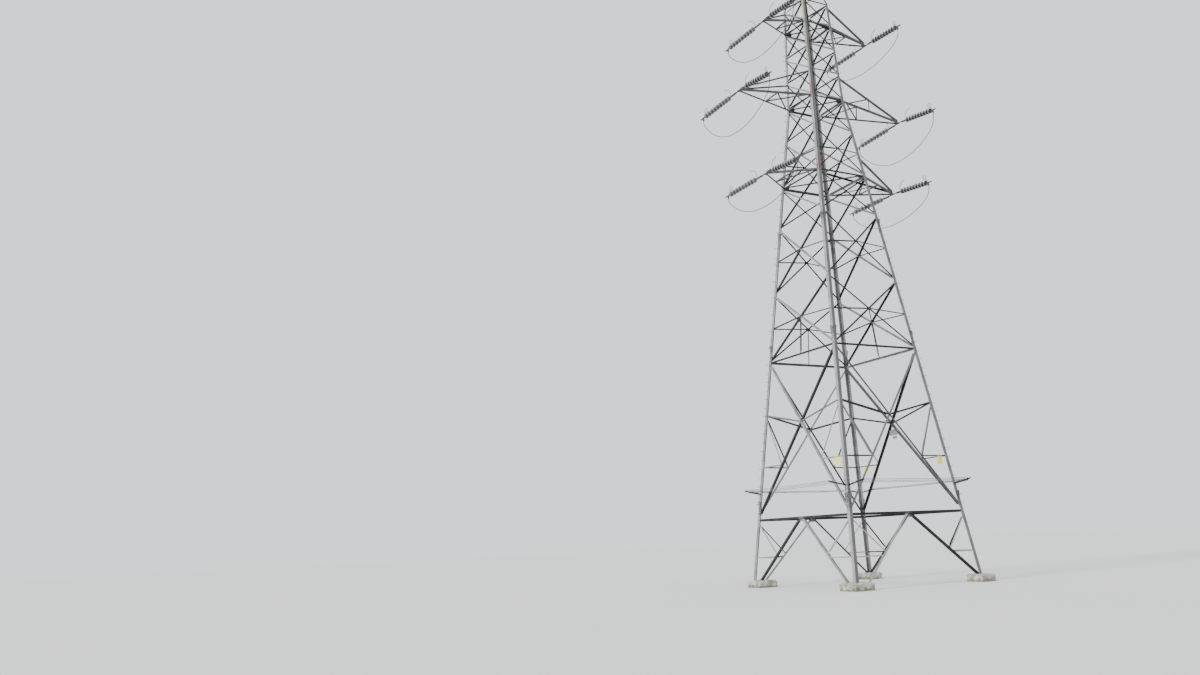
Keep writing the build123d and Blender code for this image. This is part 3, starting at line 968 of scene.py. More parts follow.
@dataclass
class LineFittings:
    """The twelve insulator strings with their fittings, and the six jumpers between them."""

    body: TowerBody
    near_turn: float = 2.8
    far_turn: float = 10.8
    near_link: float = 0.35
    far_link: float = 0.43
    root_from_axis: float = 0.18
    link_radius: float = 0.015
    plate: float = 0.02
    discs: int = 9
    pitch: float = 0.186
    lug_fall: float = 0.15
    wire: float = 0.028
    horn: float = 0.0115
    ring: float = 0.085
    ring_centre: Flat = (0.27905, -0.1206)
    ring_from: float = 158.0
    ring_steps: int = 16
    jumper_steps: int = 12
    shed_sides: int = 28
    cap_sides: int = 14
    pin_sides: int = 10
    band_sides: int = 12
    adjuster: Flat = (0.012, 0.075)
    adjuster_bevel: float = 0.004
    adjuster_gap: float = 0.017
    adjuster_from: float = 0.06
    adjuster_ends: float = 0.09
    link_pins: Flat = (0.1, 0.07)
    clamp_bolts: tuple[float, ...] = (0.1, 0.16, 0.22, 0.28)
    shed_edge: float = 50.0
    cap_edge: float = 40.0
    profiles: Profiles = Profiles()
    route: tuple[Flat, ...] = (
        (-2.3, 0.0), (-2.3, 0.16), (-2.21, 0.33), (-2.03, 0.49), (-1.77, 0.63), (-1.45, 0.755),
        (-1.08, 0.865), (-0.7, 0.945), (-0.31, 0.992), (0.08, 1.008), (0.47, 0.99), (0.86, 0.93),
        (1.23, 0.83), (1.57, 0.695), (1.86, 0.535), (2.09, 0.37), (2.255, 0.235), (2.35, 0.12),
        (2.35, 0.0))

    def arms(self) -> list[Arm]:
        """The six arms.

        Returns:
            The arms, from the bottom.
        """
        return [
            Arm("bottom_jumper_left", -1, self.body.bottom_arm, 3.18, 7.4, 5.7, 1.2),
            Arm("bottom_jumper_right", 1, self.body.bottom_arm, 4.17, 7.6, 4.0, 1.2),
            Arm("middle_jumper_left", -1, self.body.middle_arm, 4.23, 9.4, 8.7, 1.52),
            Arm("middle_jumper_right", 1, self.body.middle_arm, 5.06, 9.6, 8.0, 1.54),
            Arm("top_jumper_left", -1, self.body.top_arm, 2.53, 8.5, 7.2, 1.33),
            Arm("top_jumper_right", 1, self.body.top_arm, 3.48, 6.6, 5.1, 1.12),
        ]

    def axis(self, arm: Arm, along: int) -> Vector:
        """The way a string runs from its arm.

        Args:
            arm: the arm.
            along: -1 for the string that runs towards -Y, 1 for the other.

        Returns:
            The direction.
        """
        turn = math.radians(self.far_turn if along > 0 else self.near_turn)
        drop = math.radians(arm.far_drop if along > 0 else arm.near_drop)
        flat = math.cos(drop)
        return Vector((-math.sin(turn) * flat, along * math.cos(turn) * flat, -math.sin(drop)))

    def root(self, arm: Arm, along: int) -> Vector:
        """Where a string's link leaves the arm."""
        level = arm.low - self.body.arm_drop + self.plate / 2
        return Vector((arm.side * (arm.reach + self.link_radius), along * self.root_from_axis, level))

    def lug_end(self, arm: Arm, along: int) -> Vector:
        """Where a jumper leaves the lug under its clamp.

        Args:
            arm: the arm.
            along: -1 for the string that runs towards -Y, 1 for the other.

        Returns:
            The point.
        """
        root, axis = self.root(arm, along), self.axis(arm, along)
        from_tip = self.route[-1][0] if along > 0 else self.route[0][0]
        spot = root + axis * ((abs(from_tip) - abs(root.y)) / abs(axis.y))
        return Vector((spot.x, from_tip, spot.z - self.lug_fall))

    def jumper_points(self, arm: Arm) -> list[Vector]:
        """The route of a jumper.

        Args:
            arm: the arm.

        Returns:
            The wire's control points.
        """
        near, far = self.lug_end(arm, -1), self.lug_end(arm, 1)
        points = []
        for along_line, share in self.route:
            chord = near.lerp(far, (along_line - near.y) / (far.y - near.y))
            points.append(chord - Vector((0, 0, share * arm.sag)))
        return points

    def build_jumpers(self, strand: bpy.types.Material) -> None:
        """Hangs the six jumpers as smooth cords.

        Args:
            strand: the finish of the wire.
        """
        for arm in self.arms():
            points = self.jumper_points(arm)
            name = arm.jumper + "_wire"
            piece = linked(name, smooth_line(name, points, self.jumper_steps))
            length = self.measured(piece)
            piece.data.bevel_depth = self.wire / 2
            piece.data.bevel_resolution = 4
            dress(piece, strand)
            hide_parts(arm.jumper)

    def measured(self, piece: bpy.types.Object) -> float:
        """The length of a jumper's line, before it gets its thickness.

        Args:
            piece: the jumper, still a bare curve.

        Returns:
            The length.
        """
        bpy.context.view_layer.update()
        mesh = bpy.data.meshes.new_from_object(piece.evaluated_get(bpy.context.evaluated_depsgraph_get()))
        spots = [vertex.co.copy() for vertex in mesh.vertices]
        bpy.data.meshes.remove(mesh)
        return sum((b - a).length for a, b in zip(spots, spots[1:]))

    def strings(self, level: bool = False) -> list[tuple[Matrix, float, float]]:
        """Where every string starts, the near and the far one of each arm in turn.

        Args:
            level: whether +X lies level across the string or points up.

        Returns:
            Each string's place, with +Z along it, and both ends of its discs along it.
        """
        found = []
        for arm in self.arms():
            for along, link in ((-1, self.near_link), (1, self.far_link)):
                across = Vector((along, 0, 0)) if level else Vector((0, 0, 1))
                place = aimed(self.root(arm, along), self.axis(arm, along), across)
                found.append((place, link, link + self.discs * self.pitch))
        return found

    def build_discs(self, near: bpy.types.Material, far: bpy.types.Material,
                    cast: bpy.types.Material) -> None:
        """Models one disc and copies it along every string.

        Args:
            near: the finish of the sheds on the strings that run towards -Y, the copy of the glaze with the
                stronger painted highlight.
            far: the finish of the other strings' sheds, the copy with the weaker painted highlight.
            cast: the finish of the caps and pins.
        """
        cap = lathed("cap", list(self.profiles.cap), self.cap_sides)
        metal = joined("cap_and_pin", [cap, lathed("pin", list(self.profiles.pin), self.pin_sides)])
        steps = [count * self.pitch for count in range(self.discs)]
        places = [[self.on_string(place, start + step) for step in steps]
                  for place, start, _ in self.strings(level=True)]
        for name, strings, glaze in (("near_sheds", places[::2], near), ("far_sheds", places[1::2], far)):
            shed = lathed("shed", list(self.profiles.shed), self.shed_sides)
            sheds = dress(stamped(name, shed, sum(strings, [])), glaze)
            smooth(sheds, self.shed_edge)
            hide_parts("insulator_strings")
        caps = dress(stamped("disc_caps", metal, sum(places, [])), cast)
        smooth(caps, self.cap_edge)

    def bent(self, name: str, profile: tuple[Flat, ...]) -> bpy.types.Object:
        """A bar of a horn or ring, with the string along +Z."""
        return rod(name, [(up, 0.0, along) for up, along in profile], self.horn, 1)

    def banded(self, name: str, profile: tuple[Flat, ...]) -> bpy.types.Object:
        """A turned band round the string."""
        return lathed(name, list(profile), self.band_sides)

    def build_horns(self, cast: bpy.types.Material) -> None:
        """The arcing horn at each string's arm end and the ring at its live end.

        Args:
            cast: the finish of the fittings.
        """
        turns = [math.radians(self.ring_from + 360.0 / self.ring_steps * step)
                 for step in range(self.ring_steps + 1)]
        loop = tuple((self.ring_centre[0] + self.ring * math.cos(turn),
                      self.ring_centre[1] + self.ring * math.sin(turn)) for turn in turns)
        horn = joined("horn", [self.bent("bar", self.profiles.horn),
                               self.banded("collar", self.profiles.collar)])
        ring = joined("ring", [self.bent("stem", self.profiles.stem), self.bent("loop", loop),
                               self.banded("grip", self.profiles.grip)])
        strings = self.strings()
        horns = stamped("horns", horn, [self.on_string(place, start) for place, start, _ in strings])
        rings = stamped("rings", ring, [self.on_string(place, end) for place, _, end in strings])
        smooth(dress(joined("arcing_horns", [horns, rings]), cast), self.shed_edge)

    def on_string(self, place: Matrix, reach: float) -> Matrix:
        """A place at a distance along a string, with +Z along the string."""
        return place @ Matrix.Translation((0.0, 0.0, reach))

    def across(self, place: Matrix, reach: float) -> Matrix:
        """Where a bolt goes through a string, level, at a distance along it."""
        return self.on_string(place, reach) @ Matrix.Rotation(math.radians(90), 4, "X")

    def build_link_plates(self, cast: bpy.types.Material) -> None:
        """The pair of adjuster plates along each link, with the pins through their ends.

        Args:
            cast: the finish of the fittings.
        """
        thickness, width = self.adjuster
        aside = self.adjuster_gap + thickness / 2
        strings, sheets, bores = self.strings(), [], []
        for group in (strings[::2], strings[1::2]):
            link = group[0][1]
            length = link - self.adjuster_ends
            middle = self.adjuster_from + length / 2
            spots = [place @ Matrix.Translation((0.0, hand * aside, middle))
                     for place, _, _ in group for hand in (-1, 1)]
            sheet = block("adjuster", (width, thickness, length), self.adjuster_bevel)
            sheets.append(stamped("adjusters", sheet, spots))
            bores += [self.across(place, reach) for place, _, _ in group
                      for reach in (self.link_pins[0], middle, link - self.link_pins[1])]
        pins = stamped("link_pins", lathed("link_pin", list(self.profiles.link_pin), 8), bores)
        dress(joined("adjuster_plates", [*sheets, pins]), cast)

    def build_clamp_bolts(self, cast: bpy.types.Material) -> None:
        """The bolts that close each tension clamp and its jumper lug.

        Args:
            cast: the finish of the fittings.
        """
        places = [self.across(place, end + reach) for place, _, end in self.strings()
                  for reach in self.clamp_bolts]
        bolt = lathed("clamp_bolt", list(self.profiles.clamp_bolt), HEXAGON)
        dress(stamped("clamp_bolts", bolt, places), cast)


@dataclass
class AntiClimbGuard:
    """Barbed wire: the strands on the guard brackets, and the coil round one leg."""

    body: TowerBody
    level: float = 3.93
    reach: float = 0.85
    rise: float = 0.15
    inset: float = 0.075
    overhang: float = 0.06
    outs: tuple[float, ...] = (0.25, 0.5, 0.75)
    rest: float = 0.0052
    wire: float = 0.003
    twist: float = 0.0031
    lay: float = 0.1
    barb_every: float = 0.12
    barb: float = 0.026
    barb_wire: float = 0.002
    coil_turns: int = 9
    coil_from: float = 3.0
    coil_to: float = 4.45
    coil_corners: tuple[Flat, ...] = ((-0.02, -0.02), (0.185, -0.03), (-0.03, 0.185))
    wraps: int = 7
    wrap_radius: float = 0.045
    wrap_from: float = 0.2
    wrap_length: float = 0.58
    slack_outs: tuple[float, ...] = (0.37, 0.6, 0.79)
    slack_sag: float = 0.07
    slack_lift: float = 0.03
    slack_controls: int = 9

    def __post_init__(self) -> None:
        """Works out the front face's brackets: their foot, their run, and the way out of their plane."""
        self.foot = Vector((0.0, -self.body.half(self.level), self.level))
        self.along = Vector((0.0, -self.reach, self.rise)).normalized()
        self.up = Vector((0.0, self.rise, self.reach)).normalized()
        self.bracket = self.body.half(self.level) - self.inset

    def barb_mesh(self) -> bpy.types.Object:
        """One barb: two short wires twisted round the strand, across +X.

        Returns:
            The barb.
        """
        shapes = (
            [(0.004, 0.002, -self.barb), (0.0, 0.006, -0.004), (-0.003, -0.001, 0.007),
             (-0.005, -0.007, self.barb)],
            [(-0.004, self.barb, 0.003), (0.0, 0.004, 0.006), (0.003, -0.005, 0.0),
             (0.005, -self.barb, -0.005)])
        return joined("barb", [rod("spike", shape, self.barb_wire, 0) for shape in shapes])

    def helix(self, points: list[Vector], start: float) -> bpy.types.Object:
        """One wire wound round a line.

        Args:
            points: the line, evenly spaced and close together.
            start: the angle that the winding starts at.

        Returns:
            The wire.
        """
        wound = []
        run = 0.0
        for number, point in enumerate(points):
            ahead = points[min(number + 1, len(points) - 1)]
            behind = points[max(number - 1, 0)]
            turn = start + 2 * math.pi * run / self.lay
            offset = Vector((math.cos(turn) * self.twist, math.sin(turn) * self.twist, 0.0))
            wound.append(aimed(point, ahead - behind) @ offset)
            run += (ahead - point).length
        return rod("wire", wound, self.wire, 0, "POLY")

    def strand(self, line: list[Vector], seed: int) -> bpy.types.Object:
        """A length of barbed wire: two wound wires with their barbs.

        Args:
            line: its middle line, evenly spaced and close together.
            seed: seed of the barbs' turns.

        Returns:
            The wire.
        """
        order = random.Random(seed)
        wires = [self.helix(line, 0.0), self.helix(line, math.pi)]
        spacing = (line[1] - line[0]).length
        step = max(1, round(self.barb_every / spacing))
        onto = Matrix.Rotation(math.radians(90), 4, "Y")
        places = []
        for number in range(step // 2, len(line) - 1, step):
            spin = Matrix.Rotation(order.uniform(0.0, 2 * math.pi), 4, "Z")
            places.append(aimed(line[number], line[number + 1] - line[number]) @ spin @ onto)
        return joined("barbed", [*wires, stamped("barbs", self.barb_mesh(), places)])

    def build_strands(self, steel: bpy.types.Material) -> None:
        """Lays three strands on the brackets of every face.

        Args:
            steel: the finish of the steel.
        """
        end = self.bracket + self.overhang
        count = int(2 * end / (self.lay / 6))
        line = [Vector((-end + 2 * end * step / count, 0.0, 0.0)) for step in range(count + 1)]
        places = [side.turn() @ Matrix.Translation(self.foot + self.along * out + self.up * self.rest)
                  for side in Side for out in self.outs]
        piece = dress(stamped("guard_strands", self.strand(line, 7), places), steel)
        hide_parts("guard_wires")

    def build_slack(self, steel: bpy.types.Material) -> None:
        """Hangs slack lengths between the strands and winds their ends round the brackets.

        Args:
            steel: the finish of the steel.
        """
        order = random.Random(23)
        pieces = []
        for number, out in enumerate(self.slack_outs):
            controls = []
            for step in range(self.slack_controls):
                share = 2 * step / (self.slack_controls - 1) - 1
                sag = self.slack_sag * (1 - share * share) * order.uniform(0.5, 1.1)
                sway = order.uniform(-0.02, 0.02) * (1 - abs(share))
                controls.append(self.foot + Vector((share * self.bracket, 0.0, 0.0))
                                + self.along * (out + sway) + self.up * (self.slack_lift - sag))
            pieces.append(self.strand(self.even(controls, self.lay / 4), 31 + number))
        steps = self.wraps * 4
        for hand in (-1, 1):
            base = self.foot + Vector((hand * self.bracket, 0.0, 0.0))
            controls = []
            for step in range(steps):
                turn = step * math.pi / 2
                ring = Vector((math.cos(turn), 0.0, 0.0)) + self.up * math.sin(turn)
                controls.append(base + self.along * (self.wrap_from + self.wrap_length * step / steps)
                                + ring * self.wrap_radius * order.uniform(0.9, 1.15))
            pieces.append(self.strand(self.even(controls, self.lay / 4), 51 + hand))
        places = [side.turn() for side in Side]
        dress(stamped("guard_slack_wire", joined("slack", pieces), places), steel)

    def build_coil(self, steel: bpy.types.Material) -> None:
        """Winds barbed wire loosely round the front left leg.

        Args:
            steel: the finish of the steel.
        """
        order = random.Random(11)
        controls = []
        for turn in range(self.coil_turns):
            for number, corner in enumerate(self.coil_corners):
                rise = (turn + number / len(self.coil_corners)) / self.coil_turns
                z = self.coil_from + (self.coil_to - self.coil_from) * rise + order.uniform(-0.03, 0.03)
                slack = order.uniform(-0.004, 0.03)
                across, along = (part * (1 + slack) - slack - self.body.half(z) for part in corner)
                controls.append(Vector((across, along, z)))
        line = self.even(controls, self.lay / 5)
        dress(joined("leg_barbed_wire", [self.strand(line, 13)]), steel)

    def even(self, controls: list[Vector], spacing: float) -> list[Vector]:
        """Points evenly spaced along the smooth line through control points.

        Args:
            controls: the control points.
            spacing: distance between points.

        Returns:
            The points.
        """
        path = rod("path", controls, 0.0, 0)
        spots = [vertex.co.copy() for vertex in path.data.vertices]
        bpy.data.objects.remove(path)
        points = [spots[0]]
        carry = 0.0
        for start, stop in zip(spots, spots[1:]):
            length = (stop - start).length
            reach = spacing - carry
            while reach <= length:
                points.append(start.lerp(stop, reach / length))
                reach += spacing
            carry = length - (reach - spacing)
        return points


@dataclass
class Notices:
    """The bare sheet plates that hang in the lower panels."""

    body: TowerBody
    thickness: float = 0.003
    small: Flat = (0.29, 0.38)
    large: Flat = (0.5, 0.27)
    label: Flat = (0.27, 0.12)
    corner: float = 0.018
    bolt: tuple[Flat, ...] = ((0.012, 0.0), (0.012, 0.002), (0.009, 0.003), (0.009, 0.008), (0.006, 0.009))
    bolt_share: float = 0.32
    lap: float = 0.05
    above_strut: float = 0.02
    large_drop: float = 0.26
    label_drop: float = 0.56
    from_leg: dict[Side, float] = field(default_factory=lambda: {
        Side.LEFT: 0.45, Side.RIGHT: 0.5, Side.FRONT: 0.38})

    def plate(self, width: float, height: float) -> bpy.types.Object:
        """A plate with round corners in the plane of X and Z, its top on the origin, with two bolts.

        Args:
            width: the plate's width.
            height: the plate's height.

        Returns:
            The plate.
        """
        sheet = block("sheet", (width, self.thickness, height))
        select_only(sheet)
        bpy.ops.object.mode_set(mode="EDIT")
        bpy.ops.mesh.select_mode(type="EDGE")
        bpy.ops.mesh.select_all(action="DESELECT")
        bpy.ops.object.mode_set(mode="OBJECT")
        for edge in sheet.data.edges:
            ends = [sheet.data.vertices[index].co for index in edge.vertices]
            edge.select = abs(ends[0].y - ends[1].y) > self.thickness / 2
        bpy.ops.object.mode_set(mode="EDIT")
        bpy.ops.mesh.bevel(offset=self.corner, segments=3)
        bpy.ops.mesh.select_mode(type="VERT")
        bpy.ops.object.mode_set(mode="OBJECT")
        sheet.data.transform(Matrix.Translation((0, 0, -height / 2)))
        places = []
        for side in (-1, 1):
            spot = Vector((side * width * self.bolt_share, -self.thickness / 2, -self.lap / 2))
            places.append(aimed(spot, Vector((0, -1, 0))))
        bolt = lathed("plate_bolt", list(self.bolt), HEXAGON)
        return joined("plate", [sheet, stamped("plate_bolts", bolt, places)])

    def hung(self, side: Side, s: float, top: float) -> Matrix:
        """A plate's place on a face's bars, s from the face's middle and with its top edge at a height."""
        spot = self.body.on_front(s, top, -self.body.leg_thickness + self.thickness / 2)
        return side.turn() @ Matrix.Translation(spot) @ self.body.tilt()

    def build(self) -> None:
        """Hangs three plates on short struts and two below the right face's crossing."""
        yellow = EnamelPlate("yellow_enamel", (0.78, 0.76, 0.12)).material()
        white = EnamelPlate("white_enamel", (0.15, 0.158, 0.18)).material()
        strut = self.body.strut_joint()[1]
        edge = self.body.at_leg(1, strut)[0]
        places = [self.hung(side, edge - from_leg, strut + self.above_strut)
                  for side, from_leg in self.from_leg.items()]
        dress(stamped("yellow_plates", self.plate(*self.small), places), yellow)
        centre = self.body.crossing(*self.body.tall_panel())[1]
        pieces = [stamped("plate", self.plate(*size), [self.hung(Side.RIGHT, 0.0, centre - drop)])
                  for size, drop in ((self.large, self.large_drop), (self.label, self.label_drop))]
        dress(joined("white_plates", pieces), white)


@dataclass
class Gussets:
    """Plates behind the heads of the raking bars, and cover plates over the joints of the legs."""

    body: TowerBody
    plate: float = 0.006
    head_plate: Flat = (0.3, 0.16)
    head_drop: float = 0.06
    splices: tuple[float, ...] = (3.32, 10.12, 15.3)
    splice_height: float = 0.6
    splice_width: float = 0.15
    head_bevel: float = 0.002
    edge: float = 0.02
    cover: float = 0.008
    cover_bevel: float = 0.0015
    rows: int = 6
    row_pitch: float = 0.095
    column: float = 0.034

    def build(self, steel: bpy.types.Material) -> None:
        """Sets a plate behind the heads of the raking bars and covers the joints of the legs.

        Args:
            steel: the finish of the steel.
        """
        depth = -self.body.leg_thickness - self.body.bar_thickness - self.plate / 2
        spot = self.body.on_front(0.0, self.body.beam - self.head_drop, depth)
        places = [side.turn() @ Matrix.Translation(spot) @ self.body.tilt() for side in Side]
        head = block("head", (self.head_plate[0], self.plate, self.head_plate[1]), self.head_bevel)
        dress(stamped("head_plates", head, places), steel)
        self.build_splices(steel)

    def build_splices(self, steel: bpy.types.Material) -> None:
        """Covers each leg's joints with plates outside and two columns of bolts in each.

        Args:
            steel: the finish of the steel.
        """
        slope = self.body.slope(0.0)
        covers, bolts = [], []
        for level in self.splices:
            for side in Side:
                for hand in (-1, 1):
                    spot = self.body.on_front(self.middle(hand, level), level, self.cover / 2)
                    lean = self.body.tilt() @ Matrix.Rotation(-hand * math.atan(slope), 4, "Y")
                    covers.append(side.turn() @ Matrix.Translation(spot) @ lean)
                    for row in range(self.rows):
                        z = level + (row - (self.rows - 1) / 2) * self.row_pitch
                        for column in (-self.column, self.column):
                            head = self.body.on_front(self.middle(hand, z) + column, z, self.cover)
                            bolts.append(side.turn() @ aimed(head, Vector((0, -1, slope))))
        size = (self.splice_width - self.edge, self.cover, self.splice_height)
        sheet = block("cover", size, self.cover_bevel)
        plates = stamped("splice_covers", sheet, covers)
        heads = stamped("splice_bolts", Bolting(self.body).head_mesh(), bolts)
        dress(joined("leg_splices", [plates, heads]), steel)

    def middle(self, hand: int, z: float) -> float:
        """The middle of a cover plate across the face, at height z."""
        return hand * (self.body.half(z) - self.splice_width / 2)


@dataclass
class Studio:
    """The pale floor, the soft light and the camera at the photograph's angle."""

    focal_px: float = 920.36
    roll: float = -2.555
    pitch: float = 12.598
    heading: float = 48.642
    distance: float = 40.844
    aside: float = 14.853
    height: float = 2.134
    floor_size: float = 360.0
    floor_tones: tuple[Colour, Colour] = ((0.56, 0.57, 0.55), (0.62, 0.62, 0.61))
    sky: Colour = (0.82, 0.83, 0.87)
    sky_strength: float = 1.6
    suns: tuple[tuple[str, float, float, Point], ...] = (
        ("key", 4.2, 12.0, (0.92, 0.12, -0.62)), ("fill", 0.35, 60.0, (0.2, 0.9, -0.5)))

    def build_camera(self) -> None:
        """Sets the camera where the photograph was taken."""
        heading = math.radians(self.heading)
        yaw = heading + math.radians(self.aside)
        pitch, roll = math.radians(self.pitch), math.radians(self.roll)
        spot = Vector((-self.distance * math.cos(heading), -self.distance * math.sin(heading), self.height))
        ahead = Vector((math.cos(yaw) * math.cos(pitch), math.sin(yaw) * math.cos(pitch), math.sin(pitch)))
        right = Vector((math.sin(yaw), -math.cos(yaw), 0.0))
        up = right.cross(ahead)
        across = right * math.cos(roll) + up * math.sin(roll)
        upward = up * math.cos(roll) - right * math.sin(roll)
        camera = bpy.data.cameras.new("camera")
        camera.sensor_width = SENSOR
        camera.lens = self.focal_px * SENSOR / PHOTO_WIDTH
        camera.clip_end = 600.0
        holder = linked("camera", camera)
        turn = Matrix((across, upward, -ahead)).transposed().to_4x4()
        holder.matrix_world = Matrix.Translation(spot) @ turn
        bpy.context.scene.camera = holder

    def build_floor(self) -> None:
        """Lays a wide pale floor."""
        deselect()
        bpy.ops.mesh.primitive_grid_add(x_subdivisions=4, y_subdivisions=4, size=self.floor_size)
        floor = bpy.context.object
        floor.name = "floor"
        made = Finish("pale_floor")
        made.paint(made.blend(made.noise(0.08, 3.0), *self.floor_tones), 0.95)
        floor.data.materials.append(made.material)

    def build_light(self) -> None:
        """Lights the tower softly, stronger from the left."""
        world = bpy.data.worlds.new("studio")
        world.use_nodes = True
        back = world.node_tree.nodes["Background"]
        back.inputs["Color"].default_value = (*self.sky, 1.0)
        back.inputs["Strength"].default_value = self.sky_strength
        bpy.context.scene.world = world
        for name, energy, angle, aim in self.suns:
            sun = bpy.data.lights.new(name, "SUN")
            sun.energy = energy
            sun.angle = math.radians(angle)
            linked(name, sun).matrix_world = aimed(Vector((0, 0, 60)), -Vector(aim))


class Tone(Enum):
    """How much painted light or shade a bar gets: its place in a bracing node's list of finishes."""

    SOOTY = 0
    DULL = 1
    BRIGHT = 2
    PALE = 3


class Bar(Enum):
    """What a bar of a braced face is: its place in the face's row of tones."""

    RISING = 0
    FALLING = 1
    TIE = 2
    BEAM = 3
    STRUT = 4
    RIGHT_TIE = 4
    STRUT_TIE = 5


BarLine = tuple[Bar, Flat, Flat]


def triangle_middle(triangle: bpy.types.MeshPolygon, corners: bpy.types.MeshVertices) -> Vector:
    """The middle of a triangle of a mesh."""
    return sum((corners[index].co for index in triangle.vertices), Vector()) / 3


@dataclass
class BracingTones:
    """Finds which bar of a braced face a triangle belongs to, and how much painted light or shade that bar
    gets.

    A row of base gives the tones of a face's bottom panel, one of low those of its tall panel, and one of
    high those of all above it, each in the order of Bar. A bottom panel has no struts: the ties on its right
    hand take their place.
    """

    body: TowerBody
    rake_head: float = 0.06
    rake_share: float = 0.42
    low_share: float = 0.37
    tie_drop: float = 0.15
    feet: dict[Side, Flat] = field(default_factory=lambda: {
        Side.FRONT: (0.6, 0.09), Side.RIGHT: (0.09, 0.09), Side.BACK: (0.09, 0.6), Side.LEFT: (0.44, 0.44)})
    base: dict[Side, tuple[Tone, ...]] = field(default_factory=lambda: {
        Side.FRONT: (Tone.PALE, Tone.SOOTY, Tone.PALE, Tone.SOOTY, Tone.PALE),
        Side.LEFT: (Tone.SOOTY, Tone.BRIGHT, Tone.PALE, Tone.SOOTY, Tone.PALE),
        Side.RIGHT: (Tone.SOOTY, Tone.DULL, Tone.SOOTY, Tone.SOOTY, Tone.SOOTY),
        Side.BACK: (Tone.DULL, Tone.BRIGHT, Tone.PALE, Tone.SOOTY, Tone.SOOTY)})
    low: dict[Side, tuple[Tone, ...]] = field(default_factory=lambda: {
        Side.FRONT: (Tone.BRIGHT, Tone.DULL, Tone.SOOTY, Tone.SOOTY, Tone.SOOTY, Tone.BRIGHT),
        Side.LEFT: (Tone.SOOTY, Tone.BRIGHT, Tone.DULL, Tone.SOOTY, Tone.BRIGHT, Tone.BRIGHT),
        Side.RIGHT: (Tone.DULL, Tone.SOOTY, Tone.SOOTY, Tone.SOOTY, Tone.DULL, Tone.DULL),
        Side.BACK: (Tone.SOOTY, Tone.BRIGHT, Tone.DULL, Tone.SOOTY, Tone.SOOTY, Tone.DULL)})
    high: dict[Side, tuple[Tone, ...]] = field(default_factory=lambda: {
        Side.FRONT: (Tone.SOOTY, Tone.SOOTY, Tone.SOOTY, Tone.SOOTY),
        Side.LEFT: (Tone.SOOTY, Tone.BRIGHT, Tone.SOOTY, Tone.SOOTY),
        Side.RIGHT: (Tone.BRIGHT, Tone.SOOTY, Tone.SOOTY, Tone.BRIGHT),
        Side.BACK: (Tone.SOOTY, Tone.SOOTY, Tone.SOOTY, Tone.DULL)})

    def base_lines(self, side: Side) -> list[BarLine]:
        """The raking bars of a face's bottom panel, and their ties to the legs.

        Args:
            side: the face.

        Returns:
            The bars.
        """
        found = []
        for hand, from_leg in zip((-1, 1), self.feet[side]):
            across, level = self.body.at_leg(hand, self.body.cap)
            foot = Vector((across - hand * from_leg, level))
            head = Vector((hand * self.rake_head, self.body.beam))
            upper, lower = foot.lerp(head, self.rake_share), foot.lerp(head, self.low_share)
            rake, tie = (Bar.RISING, Bar.TIE) if hand < 0 else (Bar.FALLING, Bar.RIGHT_TIE)
            found += [(rake, tuple(foot), tuple(head)),
                      (tie, tuple(upper), self.body.at_leg(hand, self.body.beam - self.tie_drop)),
                      (tie, tuple(lower), self.body.at_leg(hand, lower.y))]
        return found

    def strut_lines(self) -> list[BarLine]:
        """The tall panel's short struts and the ties above them.

        Returns:
            The bars.
        """
        across, level = self.body.strut_joint()
        found = []
        for hand in (-1, 1):
            joint = (-hand * across, level)
            found += [(Bar.STRUT, self.body.at_leg(hand, level), joint),
                      (Bar.STRUT_TIE, self.body.at_leg(hand, self.body.spread - self.body.step / 2), joint)]
        return found

    def lines(self, side: Side) -> list[BarLine]:
        """Every bar of a face as a line.

        Args:
            side: the face.

        Returns:
            The bars.
        """
        found = []
        for low, high in self.body.panels():
            falling, rising = sorted(self.body.crossed(low, high), key=lambda bar: bar[1][0] - bar[0][0])
            found += [(Bar.RISING, *rising), (Bar.FALLING, *falling)]
        for start, end in self.body.bars()[len(found):]:
            found.append((Bar.BEAM if start[1] == end[1] else Bar.TIE, start, end))
        return found + self.base_lines(side) + self.strut_lines()

    def nearest(self, spot: Flat, lines: list[BarLine]) -> Bar:
        """What the bar is that lies nearest to a spot on the face.

        Args:
            spot: the spot, across and up the face.
            lines: the face's bars.

        Returns:
            What that bar is.
        """
        def gap(line: BarLine) -> float:
            """The distance between the spot and a bar.

            Args:
                line: the bar.

            Returns:
                The distance.
            """
            (x0, z0), (x1, z1) = line[1:]
            run, rise = x1 - x0, z1 - z0
            share = ((spot[0] - x0) * run + (spot[1] - z0) * rise) / (run * run + rise * rise)
            share = min(1.0, max(0.0, share))
            return math.hypot(spot[0] - x0 - share * run, spot[1] - z0 - share * rise)
        return min(lines, key=gap)[0]

    def tones(self, z: float) -> dict[Side, tuple[Tone, ...]]:
        """The rows of tones that hold at a height.

        Args:
            z: the height.

        Returns:
            A row of tones for each face, in the order of Bar.
        """
        if z < self.body.beam + self.body.step:
            return self.base
        return self.low if z < self.body.waist - self.body.step else self.high

    def apply(self, node: bpy.types.Object, side: Side) -> None:
        """Gives each triangle of a face's bracing the finish of its bar.

        Args:
            node: the CAD node.
            side: the face.
        """
        lines = self.lines(side)
        back = side.turn().inverted()
        for triangle in node.data.polygons:
            spot = back @ triangle_middle(triangle, node.data.vertices)
            bar = self.nearest((spot.x, spot.z), lines)
            # Each bar gets its own strength of painted light or shade, from the face's row of tones.
            triangle.material_index = self.tones(spot.z)[side][bar.value].value


